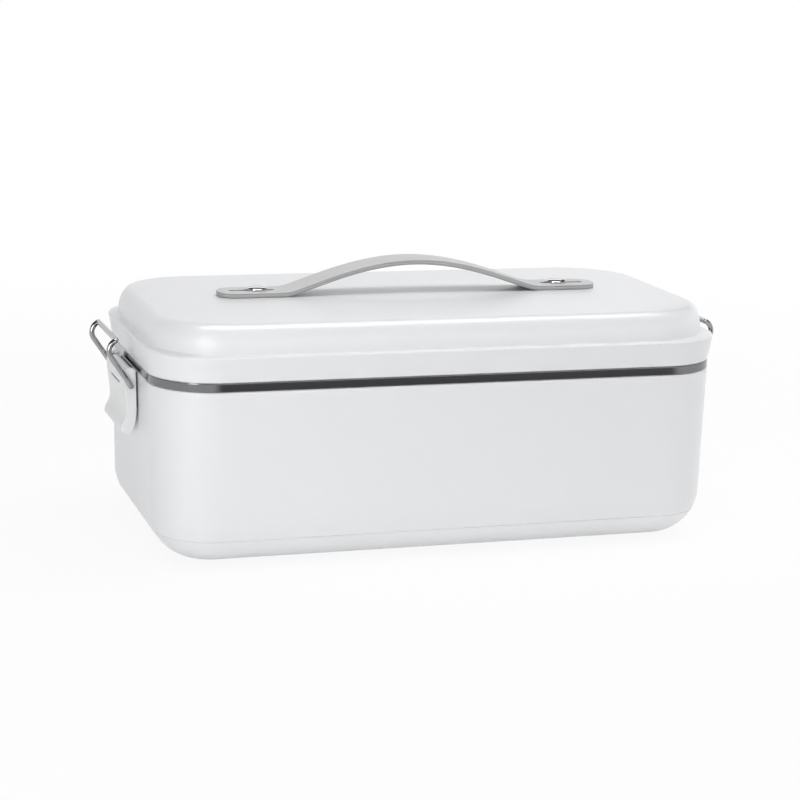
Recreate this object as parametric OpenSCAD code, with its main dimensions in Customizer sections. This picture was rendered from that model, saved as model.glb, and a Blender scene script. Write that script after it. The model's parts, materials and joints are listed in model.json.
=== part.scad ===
// Electric lunch box: a white double-walled tub with a heating pan, a lift-out
// steel food container, a domed lid with a strap handle and two toggle latches.
// Millimetres, +Z up, +X to the right end, -Y is the front, origin under the middle.

/* [Body] */
// Length of the body at its top edge
body_l = 240; // [225:1:260]
// Width of the body at its top edge
body_w = 126.6; // [116:0.2:140]
// Height of the tub's shoulder above the table
body_h = 73; // [68:0.5:82]
// Radius of the upright corners at the top edge
corner_r = 25.5; // [22:0.5:30]
// Draft of the walls in degrees
draft = 1; // [0.5:0.1:1.5]
// Thickness of the plastic wall
wall = 2.8; // [2.2:0.1:3.2]
// Radius of the rounded bottom edge
base_r = 19; // [15:0.5:20]
// Height of the seam between tub and base cover
seam_z = 12; // [10:0.5:13]
// Height of the tongue on the base cover that locates it in the tub
tongue_h = 3; // [1.5:0.5:4]
// How far the rubber feet stand out of the base
foot_h = 0.6; // [0.4:0.1:1.2]
// Diameter of a foot
foot_d = 14; // [10:0.5:16]
// Distance between the feet along the body
feet_l = 160; // [130:1:166]
// Distance between the feet across the body
feet_w = 66; // [50:1:68]

/* [Rim] */
// Height of the locating lip above the tub's shoulder
lip_h = 2.2; // [1.5:0.1:3]
// Thickness of the locating lip
lip_t = 1.6; // [1.2:0.1:2]
// Thickness of the heating pan's flange
pan_flange_t = 0.8; // [0.6:0.1:1.2]
// Thickness of the steel of the food container
steel_t = 0.8; // [0.5:0.1:1]
// Gap between the container's turned-down rim and the lip
rim_gap = 0.4; // [0.3:0.05:0.6]

/* [Heating pan and container] */
// Inset of the heating pan's wall from the body's outline
pan_inset = 5.8; // [5.4:0.1:7]
// Thickness of the heating pan
pan_t = 1.2; // [0.8:0.1:1.5]
// Height of the underside of the heating pan's floor
pan_z = 29.6; // [29.2:0.2:34]
// Gap between the container and the heating pan at the top
container_gap = 0.6; // [0.4:0.1:1]
// Extra draft of the container's walls in degrees
container_draft = 1.5; // [1:0.1:3]
// Bottom edge radius of the container
container_r = 9; // [6:0.5:12]

/* [Lid] */
// Height of the lid's skirt, up to the ledge that the latches hold
skirt_h = 10.2; // [9:0.1:12]
// How far the skirt flares out at the ledge
skirt_flare = 1.7; // [1:0.1:2.2]
// Width of the ledge
ledge_w = 2.9; // [2.6:0.1:3.5]
// Height of the dome above the ledge, at the end of its rounding
dome_h = 12.1; // [10:0.1:15]
// Radius of the upright corners of the dome
dome_corner_r = 32.5; // [28:0.5:38]
// Width of the rounding round the top of the dome
dome_round_w = 5.8; // [4:0.1:8]
// Height of the rounding round the top of the dome
dome_round_h = 9.9; // [6:0.1:10]
// Rise of the flat top above the rounding
crown_h = 0.9; // [0.5:0.1:1.5]
// Distance from the ledge's edge to the flat top
crown_w = 37; // [33:0.5:38]
// Thickness of the lid's wall
lid_wall = 2.2; // [1.8:0.1:2.6]
// Thickness of the lid's inner panel
liner_t = 1.6; // [1.2:0.1:2.2]
// Height of the sealing ring
gasket_h = 2.4; // [1.8:0.1:3]
// Inset of the sealing ring's outer edge from the outline
gasket_inset = 3; // [2.8:0.1:3.6]
// Width of the sealing ring
gasket_w = 5; // [4:0.1:5.2]
// How far the inner panel's collar reaches into the container
collar_h = 2; // [1:0.1:3]

/* [Handle] */
// Length of the strap from end to end
strap_l = 167; // [155:1:172]
// Width of the strap
strap_w = 15.5; // [13:0.5:20]
// Thickness of the strap
strap_t = 2.2; // [1.8:0.1:2.8]
// Length of the arch between the two flat ends
arch_l = 108; // [98:1:112]
// Height of the arch's underside above the lid
arch_h = 12.5; // [10:0.1:18]
// Length of the slot in each end
slot_l = 19.5; // [16:0.5:22]
// Width of the slot
slot_w = 3.2; // [3:0.1:4]
// Distance from the middle of the strap to a slot's middle
slot_x = 69; // [67:0.5:70]
// Distance from the middle of the strap to a stud
stud_x = 66.6; // [65:0.2:68]
// Diameter of a stud's neck
stud_neck_d = 2.8; // [2.4:0.1:3]
// Diameter of a stud's head
stud_head_d = 9.2; // [7:0.1:10]
// Height of a stud's head
stud_head_h = 1.6; // [1.2:0.1:2.2]

/* [Latches] */
// Width of a lever
lever_w = 38.6; // [34:0.2:44]
// Thickness of a lever's side walls
cheek_t = 2.1; // [1.8:0.1:2.6]
// Thickness of a lever's outer wall
lever_t = 1.7; // [1.3:0.1:1.8]
// Distance of the lever's pin from the tub's wall
pivot_out = 3.3; // [3.2:0.05:3.6]
// Depth of the lever's pin under the tub's shoulder
pivot_down = 1.1; // [0.8:0.1:1.6]
// Radius of the lever round its pin
lever_top_r = 3; // [2.9:0.05:3]
// Length of a lever below its pin
lever_l = 25; // [23:0.5:28]
// How far a lever's finger lip stands off the wall
lip_out = 7.6; // [7:0.1:9]
// How far a lever's waist stands off the wall
waist_out = 5.1; // [4.8:0.1:5.6]
// Diameter of a lever's pin
pin_d = 2; // [1.6:0.1:2.2]
// Diameter of the bail's wire
wire_d = 2.2; // [1.8:0.1:2.4]
// Depth of the bail's pivot under the lever's pin
bail_drop = 4.5; // [4.2:0.1:5.2]
// Distance of the bail's pivot from the tub's wall
bail_out = 3; // [2.8:0.1:3.4]
// Length of a bail's arm up to its bend
arm_l = 15; // [13:0.5:17]
// Lean of a bail's arm away from the body in degrees
arm_lean = 33; // [28:1:38]
// Radius of the bend of a bail's arm
bend_r = 4.7; // [4.4:0.1:5.2]
// How far the bend turns the wire back towards the lid in degrees
bend_turn = 101; // [90:1:110]
// Running clearance of pins and wires in their bores
run_gap = 0.05; // [0.03:0.01:0.08]
// Thickness of the steel bracket behind a lever
bracket_t = 1; // [0.8:0.1:1.2]
// Thickness of a bracket's ears
ear_t = 2.4; // [1.5:0.1:3]
// Diameter of a rivet's shank
rivet_d = 3; // [2.4:0.1:3.4]
// Distance between the two rivets of a bracket
rivet_pitch = 18; // [14:0.5:20]

/* [Power inlet] */
// Width of the inlet's body
inlet_w = 24; // [22:0.5:28]
// Height of the inlet's body
inlet_h = 13; // [12:0.2:13.4]
// Depth of the inlet's body behind the wall
inlet_depth = 20; // [17:0.5:22]
// Height of the middle of the inlet
inlet_z = 20.6; // [20.4:0.1:21.4]
// Thickness of the inlet's flange
inlet_flange_t = 2; // [1.5:0.1:2.5]
// Distance between the two pins
pin_pitch = 8.6; // [8.4:0.1:9]
// Diameter of a contact pin
contact_d = 2.4; // [2.2:0.1:2.5]

/* [Heater] */
// Length of the heating element's case
heater_l = 70; // [50:1:84]
// Width of the heating element's case
heater_w = 50; // [40:1:54]
// Thickness of the heating element's case
heater_t = 5; // [4:0.1:6]
// Thickness of the spring bar that holds it
clamp_t = 1.2; // [0.8:0.1:1.6]
// Width of the spring bar
clamp_w = 10; // [8:0.5:12]
// Diameter of the thermostat
thermostat_d = 16; // [14:0.5:18]
// Height of the thermostat
thermostat_h = 9; // [7:0.5:10]
// Diameter of an insulated lead
lead_d = 2; // [1.6:0.1:2.4]

/* [Hidden] */
$fn = 96;
slice_fn = 48;      // facets of the lofted shells' corners
eps = 0.01;         // overlap of a cut
slice_h = 0.1;      // thickness of a loft's slice

// Levels, from the table up
bend_z = foot_h + base_r;              // top of the rounded bottom edge
lip_z = body_h + lip_h;                // top of the locating lip
pan_flange_z = lip_z + pan_flange_t;   // the container's rim rests here
rim_z = pan_flange_z + steel_t;        // top of the steel rim, under the lid
ledge_z = rim_z + skirt_h;
shoulder_z = ledge_z + dome_h;         // end of the dome's rounding
top_z = shoulder_z + crown_h;          // flat top of the lid
pan_floor_z = pan_z + pan_t;           // the container stands here

// Insets from the body's outline
lip_outer = steel_t + rim_gap;
container_inset = pan_inset + pan_t + container_gap;
container_opening = container_inset + steel_t;
collar_gap = 0.5;
collar_inset = container_opening + collar_gap;
collar_t = 1.4;

// Fasteners
base_screw_d = 3;
base_head_d = 6;
base_head_h = 2.4;
base_post_d = 8.4;
base_screw_l = 15;
base_head_z = foot_h + 4.4;            // the heads seat on this face
screw_corner = 6;                      // screw's distance from the corner's centre
panel_screw_d = 2.6;
panel_head_d = 5;
panel_head_h = 1.6;
panel_screw_l = 9;
panel_screws_x = 88;
panel_screws_y = 34;
head_gap = 0.4;

// Latch frame: u runs out from the tub's wall, w runs up along it from the shoulder
bail_w_z = -pivot_down - bail_drop;    // height of the bail's pivot in that frame
arm_gap = 0.15;                        // between a bail's arm and the lever's cheek
arm_y = lever_w / 2 + arm_gap + wire_d / 2;
ear_r = lever_top_r - 1.1;
ear_gap = 0.3;
ear_y = lever_w / 2 - cheek_t - ear_gap;   // outer face of an ear
rivet_w = -10.5;                       // height of the rivets
rivet_head_d = rivet_d * 1.8;
rivet_head_h = 1;
bracket_low = -15;
bracket_gap = 0.02;                    // between a bracket and the wall behind it
bracket_top = 0.5;                     // a bracket ends this far under the shoulder
lip_r = 0.95;
toe_r = 0.7;
toe_out = 4.3;                         // middle of the lever's toe
curve_steps = 12;
window_l = 20;                         // the slot in a lever's hand side
window_h = 1.3;

// ---- Plain shapes ----

module rounded_plate(l, w, r) {
    square([l - 2 * r, w], center = true);
    square([l, w - 2 * r], center = true);
    for (x = [-1, 1]) {
        for (y = [-1, 1]) {
            translate([x * (l / 2 - r), y * (w / 2 - r)]) circle(r);
        }
    }
}

// The body's outline, moved inwards; the corner stays concentric
module outline(inset, r = corner_r) {
    rounded_plate(body_l - 2 * inset, body_w - 2 * inset, max(r - inset, 2));
}

module slice(z, inset, r = corner_r) {
    translate([0, 0, z]) linear_extrude(slice_h) outline(inset, r, $fn = slice_fn);
}

module ring(z0, z1, outer, inner) {
    translate([0, 0, z0]) linear_extrude(z1 - z0) difference() {
        outline(outer);
        outline(inner);
    }
}

module each_corner(x, y) {
    for (i = [0, 1]) {
        for (j = [0, 1]) {
            mirror([i, 0, 0]) mirror([0, j, 0]) translate([x, y, 0]) children();
        }
    }
}

module rod(from, to, d) {
    run = to - from;
    translate(from)
        rotate([0, acos(run[2] / norm(run)), atan2(run[1], run[0])])
            cylinder(d = d, h = norm(run), $fn = 24);
}

// A ball a hair thicker than the wire, where two lengths of it meet
module round_joint(at, d) {
    translate(at) sphere(d = d + 0.06, $fn = 24);
}

// A stadium-shaped slot in plan, lying along X
module slot_shape(l, w) {
    square([l - w, w], center = true);
    for (x = [-1, 1]) {
        translate([x * (l - w) / 2, 0]) circle(d = w);
    }
}

function draft_inset(z) = (body_h - z) * tan(draft);

// Bends between upright wall and floor: angle t runs from the floor (0) to the wall (90)
function bend_level(t, r, top) = top - r * cos(t);
function bend_inset(t, r) = r * (1 - sin(t));

// The drafted body with its rounded bottom edge, moved in by skin
module body_form(skin, t0, t1, top) {
    r = base_r - skin;
    hull() {
        for (i = [0 : 5]) {
            t = t0 + (t1 - t0) * i / 5;
            z = bend_level(t, r, bend_z);
            slice(z, draft_inset(z) + skin + bend_inset(t, r));
        }
        slice(top - slice_h, draft_inset(top) + skin);
    }
}

// A pan with its own draft and bottom radius, filled solid
module pan_form(inset, slope, r, floor_z, top) {
    hull() {
        for (i = [0 : 4]) {
            t = 90 * i / 4;
            z = bend_level(t, r, floor_z + r);
            slice(z, inset + (top - z) * tan(slope) + bend_inset(t, r));
        }
        slice(top - slice_h, inset);
    }
}

// ---- Body ----

seam_t = acos((bend_z - seam_z) / base_r);
inner_seam_t = acos(min((bend_z - seam_z) / (base_r - wall), 1));
inlet_face = body_w / 2 - 0.4;         // flat pad for the inlet on the back wall
inlet_pad_w = inlet_w + 10;
inlet_pad_h = inlet_h + 5;
inlet_pad_root = 6;                    // depth of the pad behind the back wall's top edge
inlet_cut = 12;                        // depth of the opening cut for the inlet
cut_gap = 0.3;
lip_root = 3;                          // overlap of a lip or tongue with its shell
post_short = 2;                        // screw posts stop this far under the heating pan
rib_t = 2;
tongue_gap = 0.4;
tongue_t = 1.6;
screw_play = 0.6;
foot_sunk = 1.2;                       // depth of a foot in the base

module screw_corners() {
    reach = screw_corner / sqrt(2);
    each_corner(body_l / 2 - corner_r + reach, body_w / 2 - corner_r + reach) children();
}

module rivet_places() {
    for (side = [-1, 1]) {
        latch_side(side) for (y = [-1, 1]) {
            translate([0, y * rivet_pitch / 2, rivet_w]) rotate([0, 90, 0]) children();
        }
    }
}

module tub_shell() {
    post_h = pan_z - seam_z - post_short;
    color("whitesmoke") difference() {
        union() {
            difference() {
                union() {
                    body_form(0, seam_t, 90, body_h);
                    translate([-inlet_pad_w / 2, body_w / 2 - inlet_pad_root, seam_z])
                        cube([inlet_pad_w, inlet_face - body_w / 2 + inlet_pad_root,
                            inlet_z + inlet_pad_h / 2 - seam_z]);
                }
                translate([0, 0, -eps]) body_form(wall, inner_seam_t, 90, body_h + 2 * eps);
            }
            ring(body_h - lip_root, lip_z, lip_outer, lip_outer + lip_t);
            intersection() {
                union() {
                    screw_corners() translate([0, 0, seam_z]) cylinder(d = base_post_d, h = post_h);
                    screw_corners() rotate([0, 0, 45])
                        translate([0, -rib_t / 2, seam_z + tongue_h + 1])
                            cube([corner_r, rib_t, post_h - tongue_h - 1]);
                }
                translate([0, 0, seam_z]) linear_extrude(post_h) outline(wall);
            }
        }
        screw_corners() translate([0, 0, seam_z - 1])
            cylinder(d = base_screw_d, h = base_head_z + base_screw_l - seam_z + 1);
        translate([-inlet_w / 2 - cut_gap, body_w / 2 - inlet_cut, inlet_z - inlet_h / 2 - cut_gap])
            cube([inlet_w + 2 * cut_gap, 2 * inlet_cut, inlet_h + 2 * cut_gap]);
        rivet_places() translate([0, 0, -2 * wall]) cylinder(d = rivet_d, h = 3 * wall);
    }
}

module base_cover() {
    tongue_in = draft_inset(seam_z) + bend_inset(seam_t, base_r) + wall + tongue_gap;
    notch_w = inlet_w + 4 * cut_gap;
    color("gainsboro") difference() {
        union() {
            difference() {
                base_form(0, seam_t, seam_z);
                base_form(wall, inner_seam_t, seam_z + 2 * eps);
            }
            ring(seam_z - lip_root, seam_z + tongue_h, tongue_in, tongue_in + tongue_t);
            screw_corners() translate([0, 0, foot_h + 1])
                cylinder(d = base_post_d, h = seam_z - foot_h - 1);
        }
        translate([-notch_w / 2, body_w / 2 - inlet_cut, seam_z])
            cube([notch_w, inlet_cut, tongue_h + 1]);
        screw_corners() {
            translate([0, 0, -1]) cylinder(d = base_screw_d + screw_play, h = seam_z + 2);
            translate([0, 0, -1]) cylinder(d = base_head_d + 2 * head_gap, h = base_head_z + 1);
        }
        each_corner(feet_l / 2, feet_w / 2) translate([0, 0, -1])
            cylinder(d = foot_d, h = 1 + foot_h + foot_sunk);
    }
}

module base_form(skin, t1, top) {
    r = base_r - skin;
    hull() {
        for (i = [0 : 8]) {
            t = t1 * i / 8;
            z = min(bend_level(t, r, bend_z), top - slice_h);
            slice(z, draft_inset(z) + skin + bend_inset(t, r));
        }
    }
}

module rubber_feet() {
    color("dimgray") each_corner(feet_l / 2, feet_w / 2) cylinder(d = foot_d, h = foot_h + foot_sunk);
}

module screw(d, l, head_d, head_h) {
    cylinder(d = d, h = l);
    translate([0, 0, -head_h]) difference() {
        cylinder(d = head_d, h = head_h);
        for (a = [0, 90]) {
            rotate([0, 0, a]) cube([head_d * 0.6, head_d * 0.14, head_h], center = true);
        }
    }
}

module base_screws() {
    color("silver") screw_corners() translate([0, 0, base_head_z])
        screw(base_screw_d, base_screw_l, base_head_d, base_head_h);
}

// ---- Heating ----

post_y = heater_w / 2 + 6;             // threaded posts for the spring bar
post_d = 6;
clamp_head_h = 2;

module heating_pan() {
    color("lightgray") {
        difference() {
            union() {
                pan_form(pan_inset, draft, container_r + pan_t, pan_z, pan_flange_z);
                translate([0, 0, lip_z]) linear_extrude(pan_flange_t) outline(lip_outer);
            }
            pan_form(pan_inset + pan_t, draft, container_r, pan_floor_z, pan_flange_z + 2 * eps);
        }
        for (y = [-post_y, post_y]) {
            translate([0, y, pan_z - heater_t]) cylinder(d = post_d, h = heater_t);
        }
    }
}

module ptc_heater() {
    groove = [8, heater_w * 0.7, 2];   // two grooves that stiffen the case
    color("goldenrod") difference() {
        translate([-heater_l / 2, -heater_w / 2, pan_z - heater_t]) cube([heater_l, heater_w, heater_t]);
        for (x = [-1, 1]) {
            translate([x * heater_l * 0.3, 0, pan_z - heater_t]) cube(groove, center = true);
        }
    }
}

clamp_z = pan_z - heater_t - clamp_t;
clamp_over = 5;                        // length of the bar past its screws

module heater_clamp() {
    color("silver") difference() {
        translate([-clamp_w / 2, -post_y - clamp_over, clamp_z])
            cube([clamp_w, 2 * (post_y + clamp_over), clamp_t]);
        for (y = [-post_y, post_y]) {
            translate([0, y, clamp_z - 1]) cylinder(d = base_screw_d, h = clamp_t + 2);
        }
    }
}

module clamp_screws() {
    color("silver") for (y = [-post_y, post_y]) {
        translate([0, y, clamp_z]) screw(base_screw_d, clamp_t, base_head_d, clamp_head_h);
    }
}

fuse_x = heater_l / 2 + 5;
fuse_l = 9;
fuse_d = 4;
thermostat_x = fuse_x + fuse_l + 4 + thermostat_d / 2;
terminal = 3;                          // height of a terminal block
terminal_w = 6;
terminal_l = 4;

module thermostat() {
    z = pan_z - thermostat_h;
    color("black") {
        translate([thermostat_x, 0, z]) cylinder(d = thermostat_d, h = thermostat_h);
        translate([thermostat_x - thermostat_d / 2 - 1, -terminal_w / 2, z + 1])
            cube([terminal_l, terminal_w, terminal]);
        translate([thermostat_x - terminal_w / 2, thermostat_d / 2 + 1 - terminal_l, z + 1])
            cube([terminal_w, terminal_l, terminal]);
    }
}

module thermal_fuse() {
    z = pan_z - fuse_d / 2;
    color("tan") rod([fuse_x, 0, z], [fuse_x + fuse_l, 0, z], fuse_d);
}

lead_x = 9;

// An insulated lead along a run of points
module lead(points) {
    for (i = [1 : len(points) - 1]) {
        rod(points[i - 1], points[i], lead_d);
    }
    for (i = [1 : len(points) - 2]) {
        round_joint(points[i], lead_d);
    }
}

// Two leads from the inlet, one to the element and one through thermostat and fuse
module heater_leads() {
    heater_side = [heater_l / 2, 0, pan_z - fuse_d / 2];
    turn_y = heater_w / 2 + 4;
    low = inlet_z;
    high = pan_z - heater_t / 2;
    mid = pan_z - thermostat_h + 1 + terminal / 2;
    link_x = fuse_x + fuse_l + 1.5;
    color("firebrick") {
        lead([[-lead_x, inlet_back, low], [-lead_x, turn_y, low], [-lead_x, turn_y, high],
            [-lead_x, heater_w / 2, high]]);
        lead([[lead_x, inlet_back, low], [lead_x, turn_y, low], [thermostat_x, turn_y, mid],
            [thermostat_x, thermostat_d / 2 + 1, mid]]);
        lead([[thermostat_x - thermostat_d / 2 - 1, 0, mid], [link_x, 0, mid],
            [link_x, 0, heater_side[2]], [fuse_x + fuse_l, 0, heater_side[2]]]);
        rod(heater_side, [fuse_x, 0, heater_side[2]], lead_d);
    }
}

// ---- Power inlet, a two-pin socket on the back wall ----

socket_side = 3.7;                     // from a pin's middle to the socket's end
socket_w = pin_pitch + 2 * socket_side;
socket_h = 9.4;
socket_depth = 13;
flange_over = 3;                       // reach of the flange past the inlet's body at each end
flange_rise = 2;                       // the same above and below
flange_r = 3;
pin_short = 2.5;                       // the pins end this far inside the socket's mouth
inlet_root = 0.4;
inlet_bite = 0.5;                      // overlap of the inlet's body with its flange
inlet_out = inlet_face + inlet_flange_t;
inlet_back = body_w / 2 - inlet_depth - inlet_root;

module power_inlet() {
    color("black") difference() {
        union() {
            translate([0, inlet_out, inlet_z]) rotate([90, 0, 0]) linear_extrude(inlet_flange_t)
                rounded_plate(inlet_w + 2 * flange_over, inlet_h + 2 * flange_rise, flange_r);
            translate([-inlet_w / 2, inlet_back, inlet_z - inlet_h / 2])
                cube([inlet_w, inlet_face - inlet_back + inlet_bite, inlet_h]);
        }
        translate([0, inlet_out + 1, inlet_z]) rotate([90, 0, 0]) linear_extrude(socket_depth + 1)
            slot_shape(socket_w, socket_h);
    }
}

module contact_pins() {
    color("gold") for (x = [-1, 1]) {
        translate([x * pin_pitch / 2, inlet_out - socket_depth, inlet_z]) rotate([-90, 0, 0])
            cylinder(d = contact_d, h = socket_depth - pin_short);
    }
}

// ---- Latches ----

// Places children on an end wall: x runs out from the wall, z up along it
module latch_side(side) {
    mirror([side < 0 ? 1 : 0, 0, 0]) translate([body_l / 2, 0, body_h]) rotate([0, draft, 0])
        children();
}

// Extrudes a (u, w) profile across the latch between two y values
module across(y0, y1) {
    translate([0, y1, 0]) rotate([90, 0, 0]) linear_extrude(y1 - y0) children();
}

function bezier(p, t) = pow(1 - t, 3) * p[0] + 3 * t * pow(1 - t, 2) * p[1]
    + 3 * t * t * (1 - t) * p[2] + pow(t, 3) * p[3];
// The points of a curve, from point number first on
function bezier_run(p, first) = [for (i = [first : curve_steps]) bezier(p, i / curve_steps)];

toe_w = -pivot_down - lever_l;
waist_w = -pivot_down - lever_l * 0.6;
tip_w = toe_w + 2.5 + toe_r;
// The hand side of a lever, from its pin down over the waist to the finger lip
function lever_face(inward) = concat(
    bezier_run([[pivot_out + lever_top_r - inward, -pivot_down],
        [pivot_out + lever_top_r - inward, waist_w + 9],
        [waist_out - inward, waist_w + 5], [waist_out - inward, waist_w]], 0),
    bezier_run([[waist_out - inward, waist_w], [waist_out - inward, waist_w - 3.5],
        [lip_out - inward, tip_w + 2.6], [lip_out - inward, tip_w + 0.4]], 1));
// The wall side of a lever's cheek, from its toe up to its pin
lever_back = bezier_run([[3.4, toe_w + 0.6], [2.1, toe_w + 3.5], [0.8, toe_w + 7],
    [pivot_out - lever_top_r + 0.3, toe_w + 14]], 0);

function arc_run(c, r, a0, a1, n) = [for (i = [0 : n])
    c + r * [cos(a0 + (a1 - a0) * i / n), sin(a0 + (a1 - a0) * i / n)]];

module lever_profile() {
    polygon(concat(
        arc_run([pivot_out, -pivot_down], lever_top_r, 180, 15, 15),
        lever_face(0),
        arc_run([lip_out - lip_r, tip_w], lip_r, 0, -50, 4),
        arc_run([toe_out, toe_w + toe_r], toe_r, -50, -130, 4),
        lever_back));
}

module lever_hollow() {
    translate([pivot_out, -pivot_down]) circle(ear_r + 0.25);
    translate([-3, -pivot_down]) square([3 + pivot_out + 1.6, lever_top_r + 1]);
    polygon(concat([for (p = lever_face(lever_t)) if (p[1] > tip_w + 3) p],
        [[-3, tip_w + 3], [-3, -pivot_down]]));
}

module latch_lever(side) {
    half = lever_w / 2;
    color("whitesmoke") latch_side(side) difference() {
        across(-half, half) lever_profile();
        across(-half + cheek_t, half - cheek_t) lever_hollow();
        across(-half - 1, half + 1) {
            translate([pivot_out, -pivot_down]) circle(d = pin_d + 2 * run_gap);
            translate([bail_out, bail_w_z]) circle(d = wire_d + 2 * run_gap);
        }
        translate([waist_out - lever_t - 1, -window_l / 2, bail_w_z - window_h / 2])
            cube([lever_t + 4, window_l, window_h]);
    }
}

module lever_pin(side) {
    reach = lever_w / 2 - 0.4;
    color("silver") latch_side(side) across(-reach, reach)
        translate([pivot_out, -pivot_down]) circle(d = pin_d);
}

module latch_bracket(side) {
    near = bracket_gap;
    color("silver") latch_side(side) difference() {
        union() {
            across(-ear_y, ear_y) translate([near, bracket_low])
                square([bracket_t - near, -bracket_low - bracket_top]);
            for (s = [-1, 1]) {
                y = s * (ear_y - ear_t / 2);
                across(y - ear_t / 2, y + ear_t / 2) {
                    translate([pivot_out, -pivot_down]) circle(ear_r);
                    polygon([[near, -pivot_down - ear_r - 2], [pivot_out, -pivot_down - ear_r],
                        [pivot_out, -pivot_down + ear_r * 0.5], [bracket_top, -bracket_top],
                        [near, -bracket_top]]);
                }
            }
        }
        across(-ear_y - 1, ear_y + 1) translate([pivot_out, -pivot_down]) circle(d = pin_d);
        for (y = [-1, 1]) {
            translate([-1, y * rivet_pitch / 2, rivet_w]) rotate([0, 90, 0])
                cylinder(d = rivet_d, h = bracket_t + 2);
        }
    }
}

module latch_rivets() {
    color("silver") rivet_places() {
        translate([0, 0, -wall]) cylinder(d = rivet_d, h = wall + bracket_t);
        translate([0, 0, bracket_t]) cylinder(d = rivet_head_d, h = rivet_head_h);
        translate([0, 0, -wall - rivet_head_h]) cylinder(d = rivet_head_d, h = rivet_head_h);
    }
}

// Points of the bail's side view, each [u, w]
bend_from = [bail_out + arm_l * sin(arm_lean), bail_w_z + arm_l * cos(arm_lean)];
bend_mid = bend_from + bend_r * [-cos(arm_lean), sin(arm_lean)];
bar_at = bend_mid + bend_r * [cos(arm_lean - bend_turn), -sin(arm_lean - bend_turn)];

module wire_bail(side) {
    stub = arm_y - lever_w / 2 + cheek_t;
    color("lightslategray") latch_side(side) {
        for (s = [-1, 1]) {
            y = s * arm_y;
            rod([bail_out, y, bail_w_z], [bail_out, y - s * stub, bail_w_z], wire_d);
            round_joint([bail_out, y, bail_w_z], wire_d);
            rod([bail_out, y, bail_w_z], [bend_from[0], y, bend_from[1]], wire_d);
            round_joint([bend_from[0], y, bend_from[1]], wire_d);
            translate([bend_mid[0], y, bend_mid[1]]) rotate([90, arm_lean, 0])
                rotate_extrude(angle = bend_turn) translate([bend_r, 0]) circle(d = wire_d, $fn = 24);
            round_joint([bar_at[0], y, bar_at[1]], wire_d);
        }
        rod([bar_at[0], -arm_y, bar_at[1]], [bar_at[0], arm_y, bar_at[1]], wire_d);
    }
}

// ---- Food container ----

module food_container() {
    color("silver") {
        difference() {
            union() {
                pan_form(container_inset, container_draft, container_r, pan_floor_z, rim_z);
                translate([0, 0, pan_flange_z]) linear_extrude(steel_t) outline(0);
            }
            pan_form(container_opening, container_draft, container_r - steel_t,
                pan_floor_z + steel_t, rim_z + 2 * eps);
        }
        ring(body_h + 0.1, rim_z, 0, steel_t);
    }
}

// ---- Lid ----

// Insets of the dome from the body's outline, under the flared ledge
dome_inset = ledge_w - skirt_flare;
crown_inset = crown_w - skirt_flare;
panel_z = rim_z + gasket_h;
ledge_edge = 0.5;
boss_d = 7;
panel_gap = 0.3;

module skirt_form(skin, z0, z1) {
    slope = skirt_flare / skirt_h;
    hull() {
        slice(z0, skin - (z0 - rim_z) * slope);
        slice(z1 - ledge_edge, skin - (z1 - ledge_edge - rim_z) * slope);
        slice(z1 - slice_h, skin - (z1 - rim_z) * slope + ledge_edge * 0.6);
    }
}

module dome_form(skin, z0) {
    rw = dome_round_w - skin;
    rh = dome_round_h - skin;
    hull() {
        slice(z0, dome_inset + skin, dome_corner_r + dome_inset);
        for (i = [0 : 6]) {
            t = 90 * i / 6;
            slice(shoulder_z - skin - rh * (1 - sin(t)), dome_inset + skin + rw * (1 - cos(t)),
                dome_corner_r + dome_inset);
        }
        slice(top_z - skin - slice_h, crown_inset, dome_corner_r + dome_inset);
    }
}

module lid_shell() {
    color("white") difference() {
        union() {
            difference() {
                union() {
                    skirt_form(0, rim_z, ledge_z);
                    dome_form(0, ledge_z - 2);
                }
                skirt_form(lid_wall, rim_z - 2 * eps, ledge_z - lid_wall);
                dome_form(lid_wall, ledge_z - lid_wall - 2);
            }
            each_corner(panel_screws_x, panel_screws_y) translate([0, 0, panel_z + liner_t])
                cylinder(d = boss_d, h = shoulder_z - 1 - panel_z - liner_t);
        }
        for (x = [-stud_x, stud_x]) {
            translate([x, 0, top_z - 10]) cylinder(d = stud_neck_d, h = 20);
        }
        each_corner(panel_screws_x, panel_screws_y) translate([0, 0, panel_z])
            cylinder(d = panel_screw_d, h = panel_screw_l);
    }
}

module lid_inner_panel() {
    color("lightgray") difference() {
        union() {
            translate([0, 0, panel_z]) linear_extrude(liner_t) outline(lid_wall + panel_gap);
            ring(rim_z - collar_h, panel_z + liner_t / 2, collar_inset, collar_inset + collar_t);
        }
        each_corner(panel_screws_x, panel_screws_y) translate([0, 0, panel_z - 1])
            cylinder(d = panel_screw_d, h = liner_t + 2);
    }
}

module lid_gasket() {
    color("silver") ring(rim_z, panel_z, gasket_inset, gasket_inset + gasket_w);
}

module panel_screws() {
    color("silver") each_corner(panel_screws_x, panel_screws_y) translate([0, 0, panel_z])
        screw(panel_screw_d, panel_screw_l, panel_head_d, panel_head_h);
}

// ---- Handle ----

strap_low = top_z;
arch_steps = 24;
tab_round = 0.46;                      // corner radius of the ends as a share of the width
arch_power = 1.05;                     // above 1 the arch leaves its feet softly
// Underside of the strap: level ends, then a raised arch with soft feet
function arch_rise(x) = arch_h * pow(cos(90 * x / (arch_l / 2)), arch_power);
function arch_slope(x) = atan((arch_rise(x + 0.05) - arch_rise(x - 0.05)) / 0.1);
arch_xs = [for (i = [1 : arch_steps - 1]) -arch_l / 2 + arch_l * i / arch_steps];

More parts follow.
